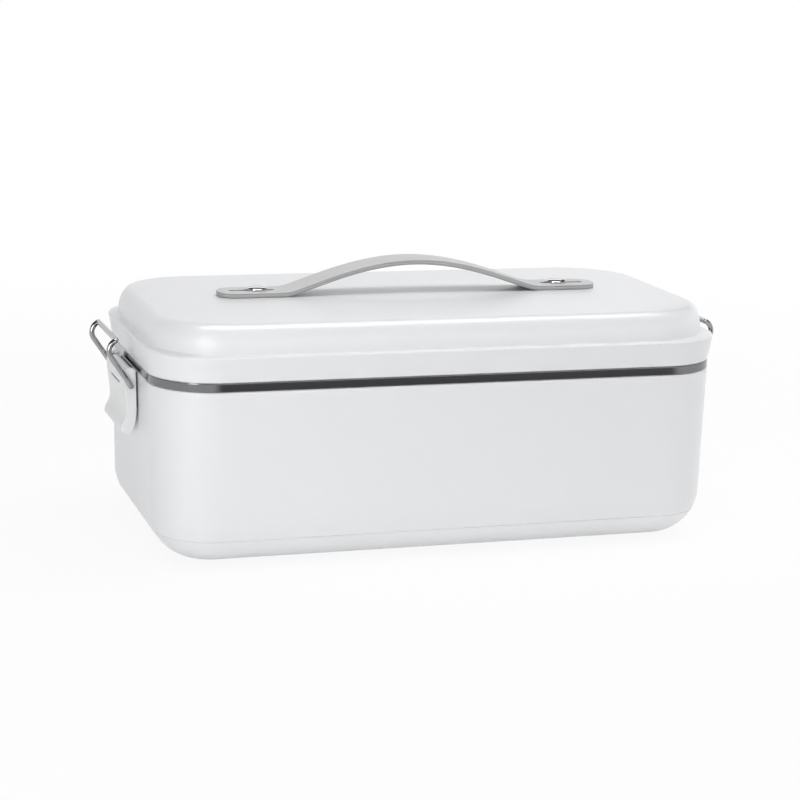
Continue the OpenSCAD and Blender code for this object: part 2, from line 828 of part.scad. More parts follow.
module strap_side() {
    under = [for (x = arch_xs) [x, arch_rise(x)]];
    over = [for (i = [len(arch_xs) - 1 : -1 : 0]) let (x = arch_xs[i], a = arch_slope(x))
        [x - strap_t * sin(a), arch_rise(x) + strap_t * cos(a)]];
    polygon(concat([[-strap_l / 2, 0], [-arch_l / 2, 0]], under, [[arch_l / 2, 0], [strap_l / 2, 0],
        [strap_l / 2, strap_t], [arch_l / 2, strap_t]], over, [[-arch_l / 2, strap_t],
        [-strap_l / 2, strap_t]]));
}

module handle_strap() {
    color("darkgray") translate([0, 0, strap_low]) difference() {
        intersection() {
            across(-strap_w / 2, strap_w / 2) strap_side();
            translate([0, 0, -1]) linear_extrude(arch_h + strap_t + 2)
                rounded_plate(strap_l, strap_w, strap_w * tab_round);
        }
        for (x = [-slot_x, slot_x]) {
            translate([x, 0, -1]) linear_extrude(strap_t + 2) slot_shape(slot_l, slot_w);
        }
    }
}

nut_h = 2.4;
nut_w = 7;
washer_h = 0.8;
washer_d = 9;
nut_z = top_z - lid_wall;

module handle_studs() {
    head_z = top_z + strap_t + 0.1;
    color("silver") for (x = [-stud_x, stud_x]) {
        translate([x, 0, 0]) {
            translate([0, 0, nut_z - washer_h - nut_h - 0.6])
                cylinder(d = stud_neck_d, h = head_z - nut_z + washer_h + nut_h + 0.8);
            translate([0, 0, head_z]) rotate_extrude() polygon(concat([[0, 0]],
                [for (t = [0 : 10 : 90]) [stud_head_d / 2 * cos(t * 0.999), stud_head_h * (0.25
                    + 0.75 * sin(t))]], [[0, stud_head_h]]));
        }
    }
}

module stud_nuts() {
    color("silver") for (x = [-stud_x, stud_x]) {
        translate([x, 0, 0]) difference() {
            union() {
                translate([0, 0, nut_z - washer_h]) cylinder(d = washer_d, h = washer_h);
                translate([0, 0, nut_z - washer_h - nut_h]) cylinder(d = nut_w, h = nut_h, $fn = 6);
            }
            translate([0, 0, nut_z - washer_h - nut_h - 1]) cylinder(d = stud_neck_d, h = 10);
        }
    }
}

// ---- Nodes ----

tub_shell();
base_cover();
rubber_feet();
base_screws();
heating_pan();
ptc_heater();
heater_clamp();
clamp_screws();
thermostat();
thermal_fuse();
heater_leads();
power_inlet();
contact_pins();
latch_bracket(-1);  // left_latch_bracket
latch_bracket(1);  // right_latch_bracket
latch_rivets();
lever_pin(-1);  // left_lever_pin
lever_pin(1);  // right_lever_pin
latch_lever(-1);  // left_latch_lever
latch_lever(1);  // right_latch_lever
wire_bail(-1);  // left_wire_bail
wire_bail(1);  // right_wire_bail
food_container();
lid_shell();
lid_inner_panel();
lid_gasket();
panel_screws();
handle_strap();
handle_studs();
stud_nuts();
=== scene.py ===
# %% [markdown]
# # An electric lunch box, dressed for its portrait
# The solids of the box come from a CAD model, the fixed frame for everything here. This lesson
# gives them their skin: moulded plastic, a polished steel rim and chrome wire, and a soft strap;
# dark reflections are painted into the colour of rim and wire, and shade and a highlight into the
# strap's edge. We load the frame and keep its size.

import json
import math

import bmesh
import bpy
from mathutils import Matrix, Vector

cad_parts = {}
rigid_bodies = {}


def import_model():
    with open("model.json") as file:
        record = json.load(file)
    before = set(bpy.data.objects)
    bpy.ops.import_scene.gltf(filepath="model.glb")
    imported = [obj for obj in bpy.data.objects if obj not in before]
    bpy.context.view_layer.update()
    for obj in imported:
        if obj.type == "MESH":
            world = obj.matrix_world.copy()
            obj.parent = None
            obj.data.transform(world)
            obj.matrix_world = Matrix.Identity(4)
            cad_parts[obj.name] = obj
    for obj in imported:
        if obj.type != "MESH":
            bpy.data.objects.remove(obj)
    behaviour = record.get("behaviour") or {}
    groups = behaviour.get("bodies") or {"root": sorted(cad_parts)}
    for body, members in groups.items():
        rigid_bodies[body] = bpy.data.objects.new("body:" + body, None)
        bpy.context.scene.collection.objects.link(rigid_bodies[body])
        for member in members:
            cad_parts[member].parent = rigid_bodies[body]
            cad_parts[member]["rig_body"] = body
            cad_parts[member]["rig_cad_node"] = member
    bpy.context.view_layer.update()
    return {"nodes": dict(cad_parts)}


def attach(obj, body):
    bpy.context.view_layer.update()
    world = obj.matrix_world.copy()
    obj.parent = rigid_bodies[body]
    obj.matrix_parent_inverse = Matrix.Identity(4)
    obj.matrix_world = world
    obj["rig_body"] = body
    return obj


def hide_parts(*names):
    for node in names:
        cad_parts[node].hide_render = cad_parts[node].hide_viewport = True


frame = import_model()
nodes = frame["nodes"]

# %% [markdown]
# ## The camera
# A product picture is taken from far off with a long lens, so that the box doesn't look
# stretched. The camera is placed by angles and a distance, because those are the numbers a
# photographer would set, and its three axes go straight into its matrix.

# %% Camera
CAMERA_TURN = -0.309077       # radians round the box, to the left of its front
CAMERA_LIFT = 0.218444        # radians above the table
CAMERA_ROLL = 0.027192
CAMERA_DISTANCE = 0.940233
AIM_HEIGHT = 0.05242926
AIM_SIDE = -0.00262634
SENSOR_WIDTH = 36.0
FOCAL_LENGTH = 98.412

back = Vector((math.sin(CAMERA_TURN) * math.cos(CAMERA_LIFT),
               -math.cos(CAMERA_TURN) * math.cos(CAMERA_LIFT), math.sin(CAMERA_LIFT)))
level = Vector((math.cos(CAMERA_TURN), math.sin(CAMERA_TURN), 0))
upward = back.cross(level)
right = level * math.cos(CAMERA_ROLL) + upward * math.sin(CAMERA_ROLL)
upward = upward * math.cos(CAMERA_ROLL) - level * math.sin(CAMERA_ROLL)
eye = Vector((0, 0, AIM_HEIGHT)) + right * AIM_SIDE + back * CAMERA_DISTANCE

bpy.ops.object.camera_add()
camera = bpy.context.object
camera.name = "portrait_camera"
camera.matrix_world = Matrix((right, upward, back)).transposed().to_4x4()
camera.location = eye
camera.data.sensor_width = SENSOR_WIDTH
camera.data.lens = FOCAL_LENGTH
bpy.context.scene.camera = camera
bpy.context.scene.view_settings.view_transform = "Standard"
print("camera at", [round(v, 3) for v in eye])

# %% [markdown]
# ## Helpers for modelling
# Every piece starts as a primitive and is shaped in edit mode. An operator works on all
# that is selected, so the helpers clear the selection, and then select faces or edges by
# where they are or which way they face.

# %% Selecting and finishing
MM = 0.001            # outlines are given in mm, the scene is in metres
SAME = 1e-6           # metres; points closer than this are one point


def only(piece):
    """Make one piece the selected and active object."""
    bpy.ops.object.select_all(action="DESELECT")
    piece.select_set(True)
    bpy.context.view_layer.objects.active = piece


def open_edit(piece):
    """Go into edit mode on one piece, with nothing selected."""
    only(piece)
    bpy.ops.object.mode_set(mode="EDIT")
    bpy.ops.mesh.select_mode(type="FACE")
    bpy.ops.mesh.select_all(action="DESELECT")


def edit_points(piece):
    """Go into edit mode on one piece, with all its points selected."""
    open_edit(piece)
    bpy.ops.mesh.select_mode(type="VERT")
    bpy.ops.mesh.select_all(action="SELECT")


def close_edit():
    bpy.ops.object.mode_set(mode="OBJECT")


def pick(kind, test):
    """Select only the faces or edges that pass the test."""
    bpy.ops.mesh.select_mode(type=kind)
    bpy.ops.mesh.select_all(action="DESELECT")
    mesh = bmesh.from_edit_mesh(bpy.context.object.data)
    for part in mesh.faces if kind == "FACE" else mesh.edges:
        if test(part):
            part.select_set(True)
    bmesh.update_edit_mesh(bpy.context.object.data)


def pick_faces(test):
    """Select the faces whose middle and normal pass the test."""
    pick("FACE", lambda face: test(face.calc_center_median(), face.normal))


def face_outwards(merge=0.0):
    """Select all, merge points closer than merge metres and turn the faces outwards."""
    bpy.ops.mesh.select_all(action="SELECT")
    if merge:
        bpy.ops.mesh.remove_doubles(threshold=merge)
    bpy.ops.mesh.normals_make_consistent(inside=False)


def settle(piece):
    """Put the piece's place, turn and size into its mesh."""
    only(piece)
    bpy.ops.object.transform_apply(location=True, rotation=True, scale=True)
    return piece


def apply_modifier(piece, kind, **values):
    """Add a modifier, give it its values and apply it."""
    only(piece)
    modifier = piece.modifiers.new(kind.title(), kind)
    for name, value in values.items():
        setattr(modifier, name, value)
    bpy.ops.object.modifier_apply(modifier=modifier.name)
    return piece


def smooth(piece, angle=35):
    """Shade smooth, with creases kept, and let the flat faces hold their normals."""
    only(piece)
    bpy.ops.object.shade_smooth_by_angle(angle=math.radians(angle))
    return apply_modifier(piece, "WEIGHTED_NORMAL", keep_sharp=True, weight=90)


def bevel_edges(piece, width, segments, angle, **values):
    """Bevel the edges sharper than angle degrees by width mm."""
    apply_modifier(piece, "BEVEL", width=width * MM, segments=segments, limit_method="ANGLE",
                   angle_limit=math.radians(angle), use_clamp_overlap=True, **values)


finishes = {}         # the materials, each under the name of its slot


def dress(piece, finish_name, body, node):
    """Give a finished piece its material and its body, and hide the CAD node it stands for."""
    piece.data.materials.clear()
    piece.data.materials.append(finishes[finish_name])
    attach(piece, body)
    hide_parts(node)
    print(f"{piece.name}: {len(piece.data.polygons)} faces on {body}")


# %% [markdown]
# ## Shared effects
# Three effects come back in many finishes, so each is a node group with named sockets.
# *Moulded grain* is the faint orange peel of plastic and the tooth of rubber. *Handling*
# makes the gloss uneven, as on a surface that hands have polished. *Edge wear* finds the
# edges by comparing a bevelled normal with the true one and lightens or darkens them.

# %% A small kit for building node groups
def new_group(name, inputs, outputs):
    """Make a shader group; inputs and outputs give the kind of each socket."""
    group = bpy.data.node_groups.new(name, "ShaderNodeTree")
    for in_out, sockets in (("INPUT", inputs), ("OUTPUT", outputs)):
        for label, kind in sockets.items():
            group.interface.new_socket(label, in_out=in_out, socket_type="NodeSocket" + kind)
    return group, group.nodes.new("NodeGroupInput"), group.nodes.new("NodeGroupOutput")


def add(tree, kind, links=(), **values):
    """Add a node to a tree, set its properties and link or set its inputs."""
    node = tree.nodes.new("ShaderNode" + kind)
    for name, value in values.items():
        setattr(node, name, value)
    for socket, source in dict(links).items():
        if isinstance(source, bpy.types.NodeSocket):
            tree.links.new(source, node.inputs[socket])
        else:
            node.inputs[socket].default_value = source
    return node


def add_mix(tree, factor, one, other):
    """Mix two colours and return the result's socket."""
    a_socket, b_socket, result_socket = 6, 7, 2       # the colour sockets of the Mix node
    mix = add(tree, "Mix", {0: factor, a_socket: one, b_socket: other}, data_type="RGBA")
    return mix.outputs[result_socket]


def calculate(tree, operation, *values):
    """Put values or sockets through a Math node and return the result's socket."""
    return add(tree, "Math", dict(enumerate(values)), operation=operation).outputs[0]


def remap(tree, value, start, end, low=0.0, high=1.0, **settings):
    """Map a value from start..end to low..high and return the result's socket."""
    return add(tree, "MapRange", {"Value": value, "From Min": start, "From Max": end,
                                  "To Min": low, "To Max": high}, **settings).outputs["Result"]


def object_place(tree):
    """The socket that gives each point's place on its object."""
    return add(tree, "TexCoord").outputs["Object"]


def vary_roughness(tree, value, inputs, outputs):
    """Give out the Base roughness, with a noise value's swing times Spread added."""
    centred = calculate(tree, "SUBTRACT", value, 0.5)
    rough = calculate(tree, "MULTIPLY_ADD", centred, inputs.outputs["Spread"],
                      inputs.outputs["Base"])
    tree.links.new(rough, outputs.inputs["Roughness"])


# %% Moulded grain
grain, grain_in, grain_out = new_group("moulded_grain", {"Scale": "Float"}, {"Height": "Float"})
fine = add(grain, "TexNoise", {"Vector": object_place(grain), "Scale": grain_in.outputs["Scale"],
                               "Detail": 2.0, "Roughness": 0.55})
grain.links.new(fine.outputs["Fac"], grain_out.inputs["Height"])

# %% Handling
handling, handling_in, handling_out = new_group(
    "handling", {"Base": "Float", "Spread": "Float", "Scale": "Float"}, {"Roughness": "Float"})
cloud = add(handling, "TexNoise", {"Vector": object_place(handling),
                                   "Scale": handling_in.outputs["Scale"], "Detail": 5.0})
vary_roughness(handling, cloud.outputs["Fac"], handling_in, handling_out)

# %% Edge wear
WEAR_RADIUS = 0.0006          # metres; how far from an edge the wear reaches
wear, wear_in, wear_out = new_group(
    "edge_wear", {"Color": "Color", "Worn": "Color", "Amount": "Float"}, {"Color": "Color"})
true_normal = add(wear, "NewGeometry")
rounded = add(wear, "Bevel", {"Radius": WEAR_RADIUS}, samples=4)
likeness = add(wear, "VectorMath", {0: true_normal.outputs["Normal"], 1: rounded.outputs["Normal"]},
               operation="DOT_PRODUCT")
edge = remap(wear, likeness.outputs["Value"], 0.995, 0.90)
patches = add(wear, "TexNoise", {"Vector": object_place(wear), "Scale": 260.0, "Detail": 4.0})
broken = remap(wear, patches.outputs["Fac"], 0.42, 0.62)
share = calculate(wear, "MULTIPLY", calculate(wear, "MULTIPLY", edge, broken),
                  wear_in.outputs["Amount"])
mixed = add_mix(wear, share, wear_in.outputs["Color"], wear_in.outputs["Worn"])
wear.links.new(mixed, wear_out.inputs["Color"])
print("node groups:", [group.name for group in bpy.data.node_groups])

# %% [markdown]
# ## Finishes
# A finish is a Principled shader fed by the shared groups, each with its own values. The
# big white mouldings are satin: a soft gloss, a fine tooth and slightly brighter edges.

# %% A finish from the shared groups
CLOUD_SCALE = 22.0


def rgba(grey_or_rgb):
    """A colour with alpha, from a grey level or three numbers."""
    if isinstance(grey_or_rgb, (int, float)):
        grey_or_rgb = (grey_or_rgb,) * 3
    return (*grey_or_rgb, 1.0)


def new_material(name):
    """A new material, with its node tree and its shader."""
    material = bpy.data.materials.new(name)
    material.use_nodes = True
    return material, material.node_tree, material.node_tree.nodes["Principled BSDF"]


def connect(tree, shader, color, roughness, height, depth):
    """Link a shader's colour and roughness, and a bump of depth metres from a height."""
    bump = add(tree, "Bump", {"Strength": 1.0, "Distance": depth, "Height": height})
    for name, source in (("Base Color", color), ("Roughness", roughness),
                         ("Normal", bump.outputs["Normal"])):
        tree.links.new(source, shader.inputs[name])


def worn_finish(name, color, worn, amount, pattern, depth, shader_values):
    """A material with worn edges; pattern(tree) gives its roughness and its height."""
    material, tree, shader = new_material(name)
    edges = add(tree, "Group", {"Color": rgba(color), "Worn": rgba(worn), "Amount": amount},
                node_tree=wear)
    roughness, height = pattern(tree)
    connect(tree, shader, edges.outputs["Color"], roughness, height, depth)
    for socket, value in shader_values.items():
        shader.inputs[socket.replace("_", " ")].default_value = value
    finishes[name] = material


def finish(name, color, worn, rough, edges=0.3, spread=0.08, scale=2500.0, depth=0.00001,
           **shader_values):
    """A material with edge wear, uneven gloss and a fine grain, its depth in metres."""
    def pattern(tree):
        gloss = add(tree, "Group", {"Base": rough, "Spread": spread, "Scale": CLOUD_SCALE},
                    node_tree=handling)
        tooth = add(tree, "Group", {"Scale": scale}, node_tree=grain)
        return gloss.outputs["Roughness"], tooth.outputs["Height"]
    worn_finish(name, color, worn, edges, pattern, depth, shader_values)


# %% Plastics and rubber
finish("white_plastic", (0.815, 0.822, 0.838), (0.88, 0.885, 0.895), 0.34, edges=0.5,
       spread=0.07, scale=1800.0, depth=0.000006, Coat_Weight=0.12, Coat_Roughness=0.25)
finish("lever_plastic", (0.80, 0.805, 0.815), (0.9, 0.9, 0.905), 0.3, edges=0.6, scale=2200.0,
       depth=0.000006)
finish("panel_plastic", (0.74, 0.75, 0.76), 0.82, 0.42, depth=0.000008, Subsurface_Weight=0.1)
finish("black_plastic", (0.028, 0.028, 0.03), 0.09, 0.38, scale=3200.0, depth=0.000012)
finish("foot_rubber", 0.12, 0.17, 0.78, scale=4000.0, depth=0.00003)
finish("seal_silicone", (0.70, 0.71, 0.72), 0.76, 0.55)
finish("lead_sleeve", (0.5, 0.07, 0.05), (0.6, 0.2, 0.15), 0.5)
finish("fuse_ceramic", (0.78, 0.70, 0.54), 0.8, 0.6)
print("finishes:", list(finishes))

# %% [markdown]
# ## Metals
# Bare metal needs a second pattern: the fine lines that rolling and drawing leave. They are
# one noise, stretched long one way, that changes only the roughness and the bump.

# %% Metals
METAL_WEAR = 0.25
drawn, drawn_in, drawn_out = new_group(
    "drawn_lines", {"Base": "Float", "Spread": "Float", "Stretch": "Vector"},
    {"Roughness": "Float", "Height": "Float"})
stretched = add(drawn, "VectorMath", {0: object_place(drawn), 1: drawn_in.outputs["Stretch"]},
                operation="MULTIPLY")
lines = add(drawn, "TexNoise", {"Vector": stretched.outputs["Vector"], "Scale": 1.0,
                                "Detail": 3.0})
vary_roughness(drawn, lines.outputs["Fac"], drawn_in, drawn_out)
drawn.links.new(lines.outputs["Fac"], drawn_out.inputs["Height"])


def metal(name, color, worn, rough, spread=0.1, stretch=(40, 4000, 4000), depth=0.000002):
    """A bare metal with worn edges and fine drawn lines."""
    def pattern(tree):
        rolled = add(tree, "Group", {"Base": rough, "Spread": spread, "Stretch": stretch},
                     node_tree=drawn)
        return rolled.outputs["Roughness"], rolled.outputs["Height"]
    worn_finish(name, color, worn, METAL_WEAR, pattern, depth, {"Metallic": 1.0})


# The band's steel is far darker than the bowl's, though it is the same sheet: a painted reflection
# of dark surroundings.
metal("rim_steel_painted_dark", (0.20, 0.20, 0.205), 0.5, 0.12, 0.06, (60, 60, 9000), 0.000001)
metal("bowl_steel", (0.60, 0.60, 0.61), 0.7, 0.22, 0.12, (60, 2500, 2500))
# The wire's chrome is darker than the studs' chrome: a painted reflection of dark surroundings.
metal("chrome_wire", (0.36, 0.36, 0.37), 0.6, 0.07, 0.05, (300, 300, 300), 0.000001)
metal("chrome_stud", (0.55, 0.55, 0.56), 0.7, 0.08, 0.05, (300, 300, 300), 0.000001)
# The brackets' steel is painted almost black: painted shade for the narrow gap between lever and
# tub, where the bracket shows.
metal("bracket_steel", (0.12, 0.12, 0.125), 0.8, 0.4, stretch=(3000, 60, 3000))
metal("screw_steel", (0.62, 0.62, 0.63), 0.75, 0.28, stretch=(900, 900, 900))
metal("spring_steel", (0.52, 0.52, 0.54), 0.65, 0.3)
metal("pan_aluminium", (0.68, 0.68, 0.69), 0.75, 0.36, 0.1, (80, 1800, 1800), 0.000003)
metal("heater_case", (0.60, 0.58, 0.50), 0.7, 0.42)
metal("contact_metal", (0.74, 0.71, 0.60), 0.8, 0.18)
print("finishes with the metals:", len(finishes))

# %% [markdown]
# ## The rounded body: one outline, many levels
# All the big parts share one outline, a rectangle with round corners. Each starts as a thin
# block with bevelled upright edges, and its end faces are inset and lifted step by step
# along a profile. Inset keeps the corners concentric, which plain scaling wouldn't.

# %% Profile tools
BODY_L, BODY_W, BODY_R = 240.0, 126.6, 25.5      # mm, at the top edge of the tub
CORNER_STEPS = 24
FLAT = 0.99           # a normal's share along an axis that counts as facing along it


def plate(name, length, width, corner, low, high, steps):
    """An upright block in mm with round corners, from level low to level high."""
    bpy.ops.mesh.primitive_cube_add(size=1, location=(0, 0, (low + high) / 2 * MM))
    piece = bpy.context.object
    piece.name = name
    piece.scale = (length * MM, width * MM, (high - low) * MM)
    settle(piece)
    open_edit(piece)
    pick("EDGE", lambda edge: abs(edge.verts[0].co.z - edge.verts[1].co.z) > SAME)
    bpy.ops.mesh.bevel(offset=corner * MM, segments=steps, affect="EDGES", clamp_overlap=False)
    close_edit()
    return piece


def rounded_block(name, low, high, inset=0.0):
    """A block with the body's outline moved in by inset."""
    return plate(name, BODY_L - 2 * inset, BODY_W - 2 * inset, BODY_R - inset, low, high,
                 CORNER_STEPS)


def reshape_corners(half_l, half_w, old_radius, new_radius):
    """Give the selected face another corner radius, with the same number of points."""
    mesh = bmesh.from_edit_mesh(bpy.context.object.data)
    old_x, old_y = half_l - old_radius, half_w - old_radius
    new_x, new_y = half_l - new_radius, half_w - new_radius
    for vert in [v for v in mesh.verts if v.select]:
        turn = math.atan2(max(abs(vert.co.y) - old_y, 0), max(abs(vert.co.x) - old_x, 0))
        vert.co.x = math.copysign(new_x + new_radius * math.cos(turn), vert.co.x)
        vert.co.y = math.copysign(new_y + new_radius * math.sin(turn), vert.co.y)
    bmesh.update_edit_mesh(bpy.context.object.data)


def run_profile(piece, points, facing):
    """Inset and lift the top (facing 1) or bottom (facing -1) face along the points.

    A point is (inset from the body's outline, level), or also has (old, new) corner radii.
    """
    open_edit(piece)
    pick_faces(lambda middle, normal: normal.z * facing > FLAT)
    for before, point in zip(points, points[1:]):
        step_in, step_up = (point[0] - before[0]) * MM, (point[1] - before[1]) * MM
        if step_in > SAME / 10:
            bpy.ops.mesh.inset(thickness=step_in, depth=step_up * facing, use_even_offset=True)
        else:
            bpy.ops.mesh.extrude_region_move(TRANSFORM_OT_translate={"value": (0, 0, step_up)})
        if len(point) > 2:
            reshape_corners((BODY_L / 2 - point[0]) * MM, (BODY_W / 2 - point[0]) * MM,
                            point[2] * MM, point[3] * MM)
    close_edit()


def arc(inset, level, across, up, start, end, steps):
    """Points of an elliptic arc round (inset, level), by angle in degrees."""
    turns = [math.radians(start + (end - start) * i / steps) for i in range(steps + 1)]
    return [(inset + across * math.cos(t), level + up * math.sin(t)) for t in turns]


def ridge(start, end, top, chamfer):
    """Points over a ridge between two insets; a negative chamfer makes it hang down."""
    across = abs(chamfer)
    return [(start, top - chamfer), (start + across, top), (end - across, top),
            (end, top - chamfer)]


def corners(x, y):
    """The four places that mirror (x, y)."""
    return [(a, b) for a in (-x, x) for b in (-y, y)]


def join_ends(piece, *levels):
    """Turn the end caps at these levels, one over the other, into a wall between them."""
    open_edit(piece)
    pick_faces(lambda middle, normal: abs(normal.z) > FLAT
               and max(abs(middle.x), abs(middle.y)) < 100 * SAME
               and any(abs(middle.z - z * MM) < SAME for z in levels))
    bpy.ops.mesh.bridge_edge_loops()
    face_outwards()
    close_edit()


def cut(piece, tool, how="DIFFERENCE"):
    """Cut a piece with a tool, or join them, and throw the tool away."""
    apply_modifier(piece, "BOOLEAN", object=tool, operation=how, solver="EXACT")
    bpy.data.objects.remove(tool)


def block(low, high, edge):
    """A box between two corners in mm, with edges rounded by edge."""
    middle = [(a + b) / 2 * MM for a, b in zip(low, high)]
    bpy.ops.mesh.primitive_cube_add(size=1, location=middle)
    tool = bpy.context.object
    tool.scale = [(b - a) * MM for a, b in zip(low, high)]
    return apply_modifier(settle(tool), "BEVEL", width=edge * MM, segments=4,
                          limit_method="NONE")


def drum(x, y, low, high, radius, points=48):
    """An upright cylinder in mm."""
    bpy.ops.mesh.primitive_cylinder_add(
        vertices=points, radius=radius * MM, depth=(high - low) * MM,
        location=(x * MM, y * MM, (low + high) / 2 * MM))
    return settle(bpy.context.object)


# %% [markdown]
# ## The tub
# The tub is a moulded shell with slightly sloping walls and a big soft bottom edge. Its
# top edge is rounded by half a millimetre, which draws the thin bright line under the
# steel rim. The outer profile runs down from there and the inner one over the locating
# lip and down inside. Bridging the two end caps at the seam turns them into a wall.

# %% Levels and slopes of the body
FOOT, BOTTOM_R, SHOULDER, SEAM = 0.6, 19.0, 73.0, 12.0      # mm
BEND = FOOT + BOTTOM_R
DRAFT = math.tan(math.radians(1.0))
WALL = 2.8


def wall_inset(level, skin=0.0):
    """Inset of the tub's wall at a level, skin mm in from the outside."""
    bend_radius = BOTTOM_R - skin
    drop = min(max(BEND - level, 0.0) / bend_radius, 1.0)
    return (SHOULDER - level) * DRAFT + skin + bend_radius * (1 - math.sqrt(1 - drop * drop))


def wall_run(start, end, skin=0.0, steps=10):
    """Points of the sloping wall from one level down to another, dense in the bend."""
    top = min(start, BEND)
    bend_radius = BOTTOM_R - skin
    first, last = [math.acos(min((BEND - z) / bend_radius, 1.0)) for z in (top, end)]
    levels = [BEND - bend_radius * math.cos(first + (last - first) * i / steps)
              for i in range(steps + 1)]
    return [(wall_inset(z, skin), z) for z in ([start] if start > BEND else []) + levels]


# %% Tub
EDGE = 0.55       # rounding of the tub's top edge
GROOVE = 0.22     # half the width of the parting line
TUB_START = 72.2  # the tub is drawn up and down from here
LIP_IN, LIP, CHAMFER = 1.2, 75.2, 0.3
INLET_PAD = (-17, 57.3, SEAM + 0.2), (17, 62.9, 29.6)
INLET_HOLE = (-12.3, 51.0, 13.8), (12.3, 70.0, 27.4)
tub = rounded_block("tub_skin", TUB_START, SHOULDER - EDGE, inset=wall_inset(TUB_START))
run_profile(tub, arc(EDGE, SHOULDER - EDGE, -EDGE, EDGE, 0, 90, 4) + [(LIP_IN, SHOULDER)]
            + ridge(LIP_IN, WALL, LIP, CHAMFER) + wall_run(SHOULDER, SEAM, WALL), 1)
run_profile(tub, wall_run(TUB_START, SEAM + GROOVE)
            + [(wall_inset(SEAM + GROOVE) + 0.05 + GROOVE, SEAM)], -1)
join_ends(tub, SEAM)
cut(tub, block(*INLET_PAD, edge=0.5), "UNION")
cut(tub, block(*INLET_HOLE, edge=0.3))
dress(smooth(tub), "white_plastic", "tub", "tub_shell")

# %% [markdown]
# ## The base cover
# A separate moulding closes the tub from below and carries its soft edge down to a flat
# floor. Four posts take the screws, whose heads sit deep in round wells, and four shallow
# seats take the rubber feet.

# %% Base cover
POST, WELL, HOLE = (2.4, SEAM, 4.2), (-1.0, 5.0, 3.4), (-1.0, 14.0, 1.8, 32)
SEAT = (-1.0, 1.8, 7.05, 64)        # each from, to, radius and number of points
BASE_START, TONGUE, TONGUE_FOOT = SEAM - 0.6, 15.0, 9.6
FLOOR_LEVELS = 8.4, 7.2, 6.0, 5.0, 4.2, 3.8
rim = wall_inset(SEAM - GROOVE)
tongue_in = wall_inset(SEAM) + WALL + 0.4
tongue_out = wall_inset(SEAM) + WALL + 2.0
base = rounded_block("base_skin", BASE_START, SEAM - GROOVE, inset=rim)
run_profile(base, [(rim, SEAM - GROOVE), (rim + GROOVE, SEAM), (tongue_in, SEAM)]
            + ridge(tongue_in, tongue_out, TONGUE, CHAMFER) + [(tongue_out, TONGUE_FOOT)]
            + [(wall_inset(z, WALL) + 0.35, z) for z in FLOOR_LEVELS], 1)
run_profile(base, [(rim, BASE_START)] + wall_run(BASE_START, FOOT, steps=14)[1:], -1)
for x, y in corners(98.743, 42.043):
    cut(base, drum(x, y, *POST), "UNION")
    cut(base, drum(x, y, *WELL))
    cut(base, drum(x, y, *HOLE))
for x, y in corners(80.0, 33.0):
    cut(base, drum(x, y, *SEAT))
dress(smooth(base), "white_plastic", "tub", "base_cover")

# %% [markdown]
# ## The lid
# The lid's skirt flares out a little up to a narrow ledge, and a dome with larger corners
# stands on it. The corners change their radius at the dome's foot, where the face is
# reshaped once. The dome's soft shoulder is an ellipse, and a long curve leads to the top.

# %% Lid profile
RIM_TOP, LEDGE, DOME_FOOT, DOME_START = 76.8, 87.0, 1.2, 89.2
SLOPE = 1.7 / 10.2
DOME_R, ROUND_IN, ROUND_UP = 32.5, 5.8, 9.9
TOP, CROWN_IN, CROWN_PULL = 100.0, 31.0, 18.0


def skirt_inset(level):
    return -(level - RIM_TOP) * SLOPE


def curve(p, steps):
    """Points of a cubic curve through four control points, without the first."""
    found = []
    for i in range(1, steps + 1):
        t = i / steps
        weights = ((1 - t) ** 3, 3 * t * (1 - t) ** 2, 3 * t * t * (1 - t), t ** 3)
        found.append(tuple(sum(w * q[k] for w, q in zip(weights, p)) for k in (0, 1)))
    return found


shoulder = arc(DOME_FOOT + ROUND_IN, DOME_START, -ROUND_IN, ROUND_UP, 0, 78, 13)
leave = shoulder[-1]
crown = curve([leave, (leave[0] + 1.0, leave[1] + 0.36), (CROWN_PULL, TOP), (CROWN_IN, TOP)], 12)

# %% Lid
LEDGE_EDGE, FILLET, HEM_R = 0.5, 0.6, 0.5
LID_START, HEM = 86.3, 77.3                   # drawn from the first, down to the second
INNER_FOOT, CEILING, INNER_DOME, INNER_R = 2.2, 84.8, 3.4, 30.3
INNER_ROUND_IN, INNER_ROUND_UP = 3.6, 7.7
start, hem_in = skirt_inset(LID_START), skirt_inset(HEM)
lid = rounded_block("lid_skin", LID_START, LEDGE - LEDGE_EDGE, inset=start)
run_profile(lid, arc(start + LEDGE_EDGE, LEDGE - LEDGE_EDGE, -LEDGE_EDGE, LEDGE_EDGE, 0, 90, 4)
            + [(DOME_FOOT - FILLET, LEDGE, BODY_R - DOME_FOOT + FILLET, DOME_R + FILLET)]
            + arc(DOME_FOOT - FILLET, LEDGE + FILLET, FILLET, FILLET, -90, 0, 4)[1:]
            + shoulder + crown, 1)
run_profile(lid, [(start, LID_START), (hem_in, HEM)]
            + arc(hem_in + HEM_R, HEM, -HEM_R, -HEM_R, 0, 90, 4)[1:]
            + [(INNER_FOOT, RIM_TOP), (INNER_FOOT, CEILING),
               (INNER_DOME, CEILING, BODY_R - INNER_DOME, INNER_R), (INNER_DOME, DOME_START)]
            + arc(DOME_FOOT + ROUND_IN, DOME_START, -INNER_ROUND_IN, INNER_ROUND_UP, 0, 90,
                  8)[1:], -1)
dress(smooth(lid), "white_plastic", "lid", "lid_shell")

# %% [markdown]
# ## The steel bowl and its rim
# The food container is drawn steel. Its rim turns over the tub's lip and shows outside as the
# polished band between tub and lid, and the same sheet runs down inside as the bowl. The profile
# goes over the rim once, and the faces of the band get a much darker colour than the bowl: a
# painted reflection of dark surroundings, not a different steel.

# %% Food container
RIM_LOW, RIM_UNDER, BOWL_FLOOR, STEEL = 73.1, 76.0, 30.8, 0.8
RIM_EDGE, RIM_START, BOWL_IN, BOWL_DRAFT, BOWL_R = 0.55, 74.0, 7.6, 1.5, 9.0
BAND = 0.5            # faces this near the outline belong to the dark band
WALL_STEPS = 9


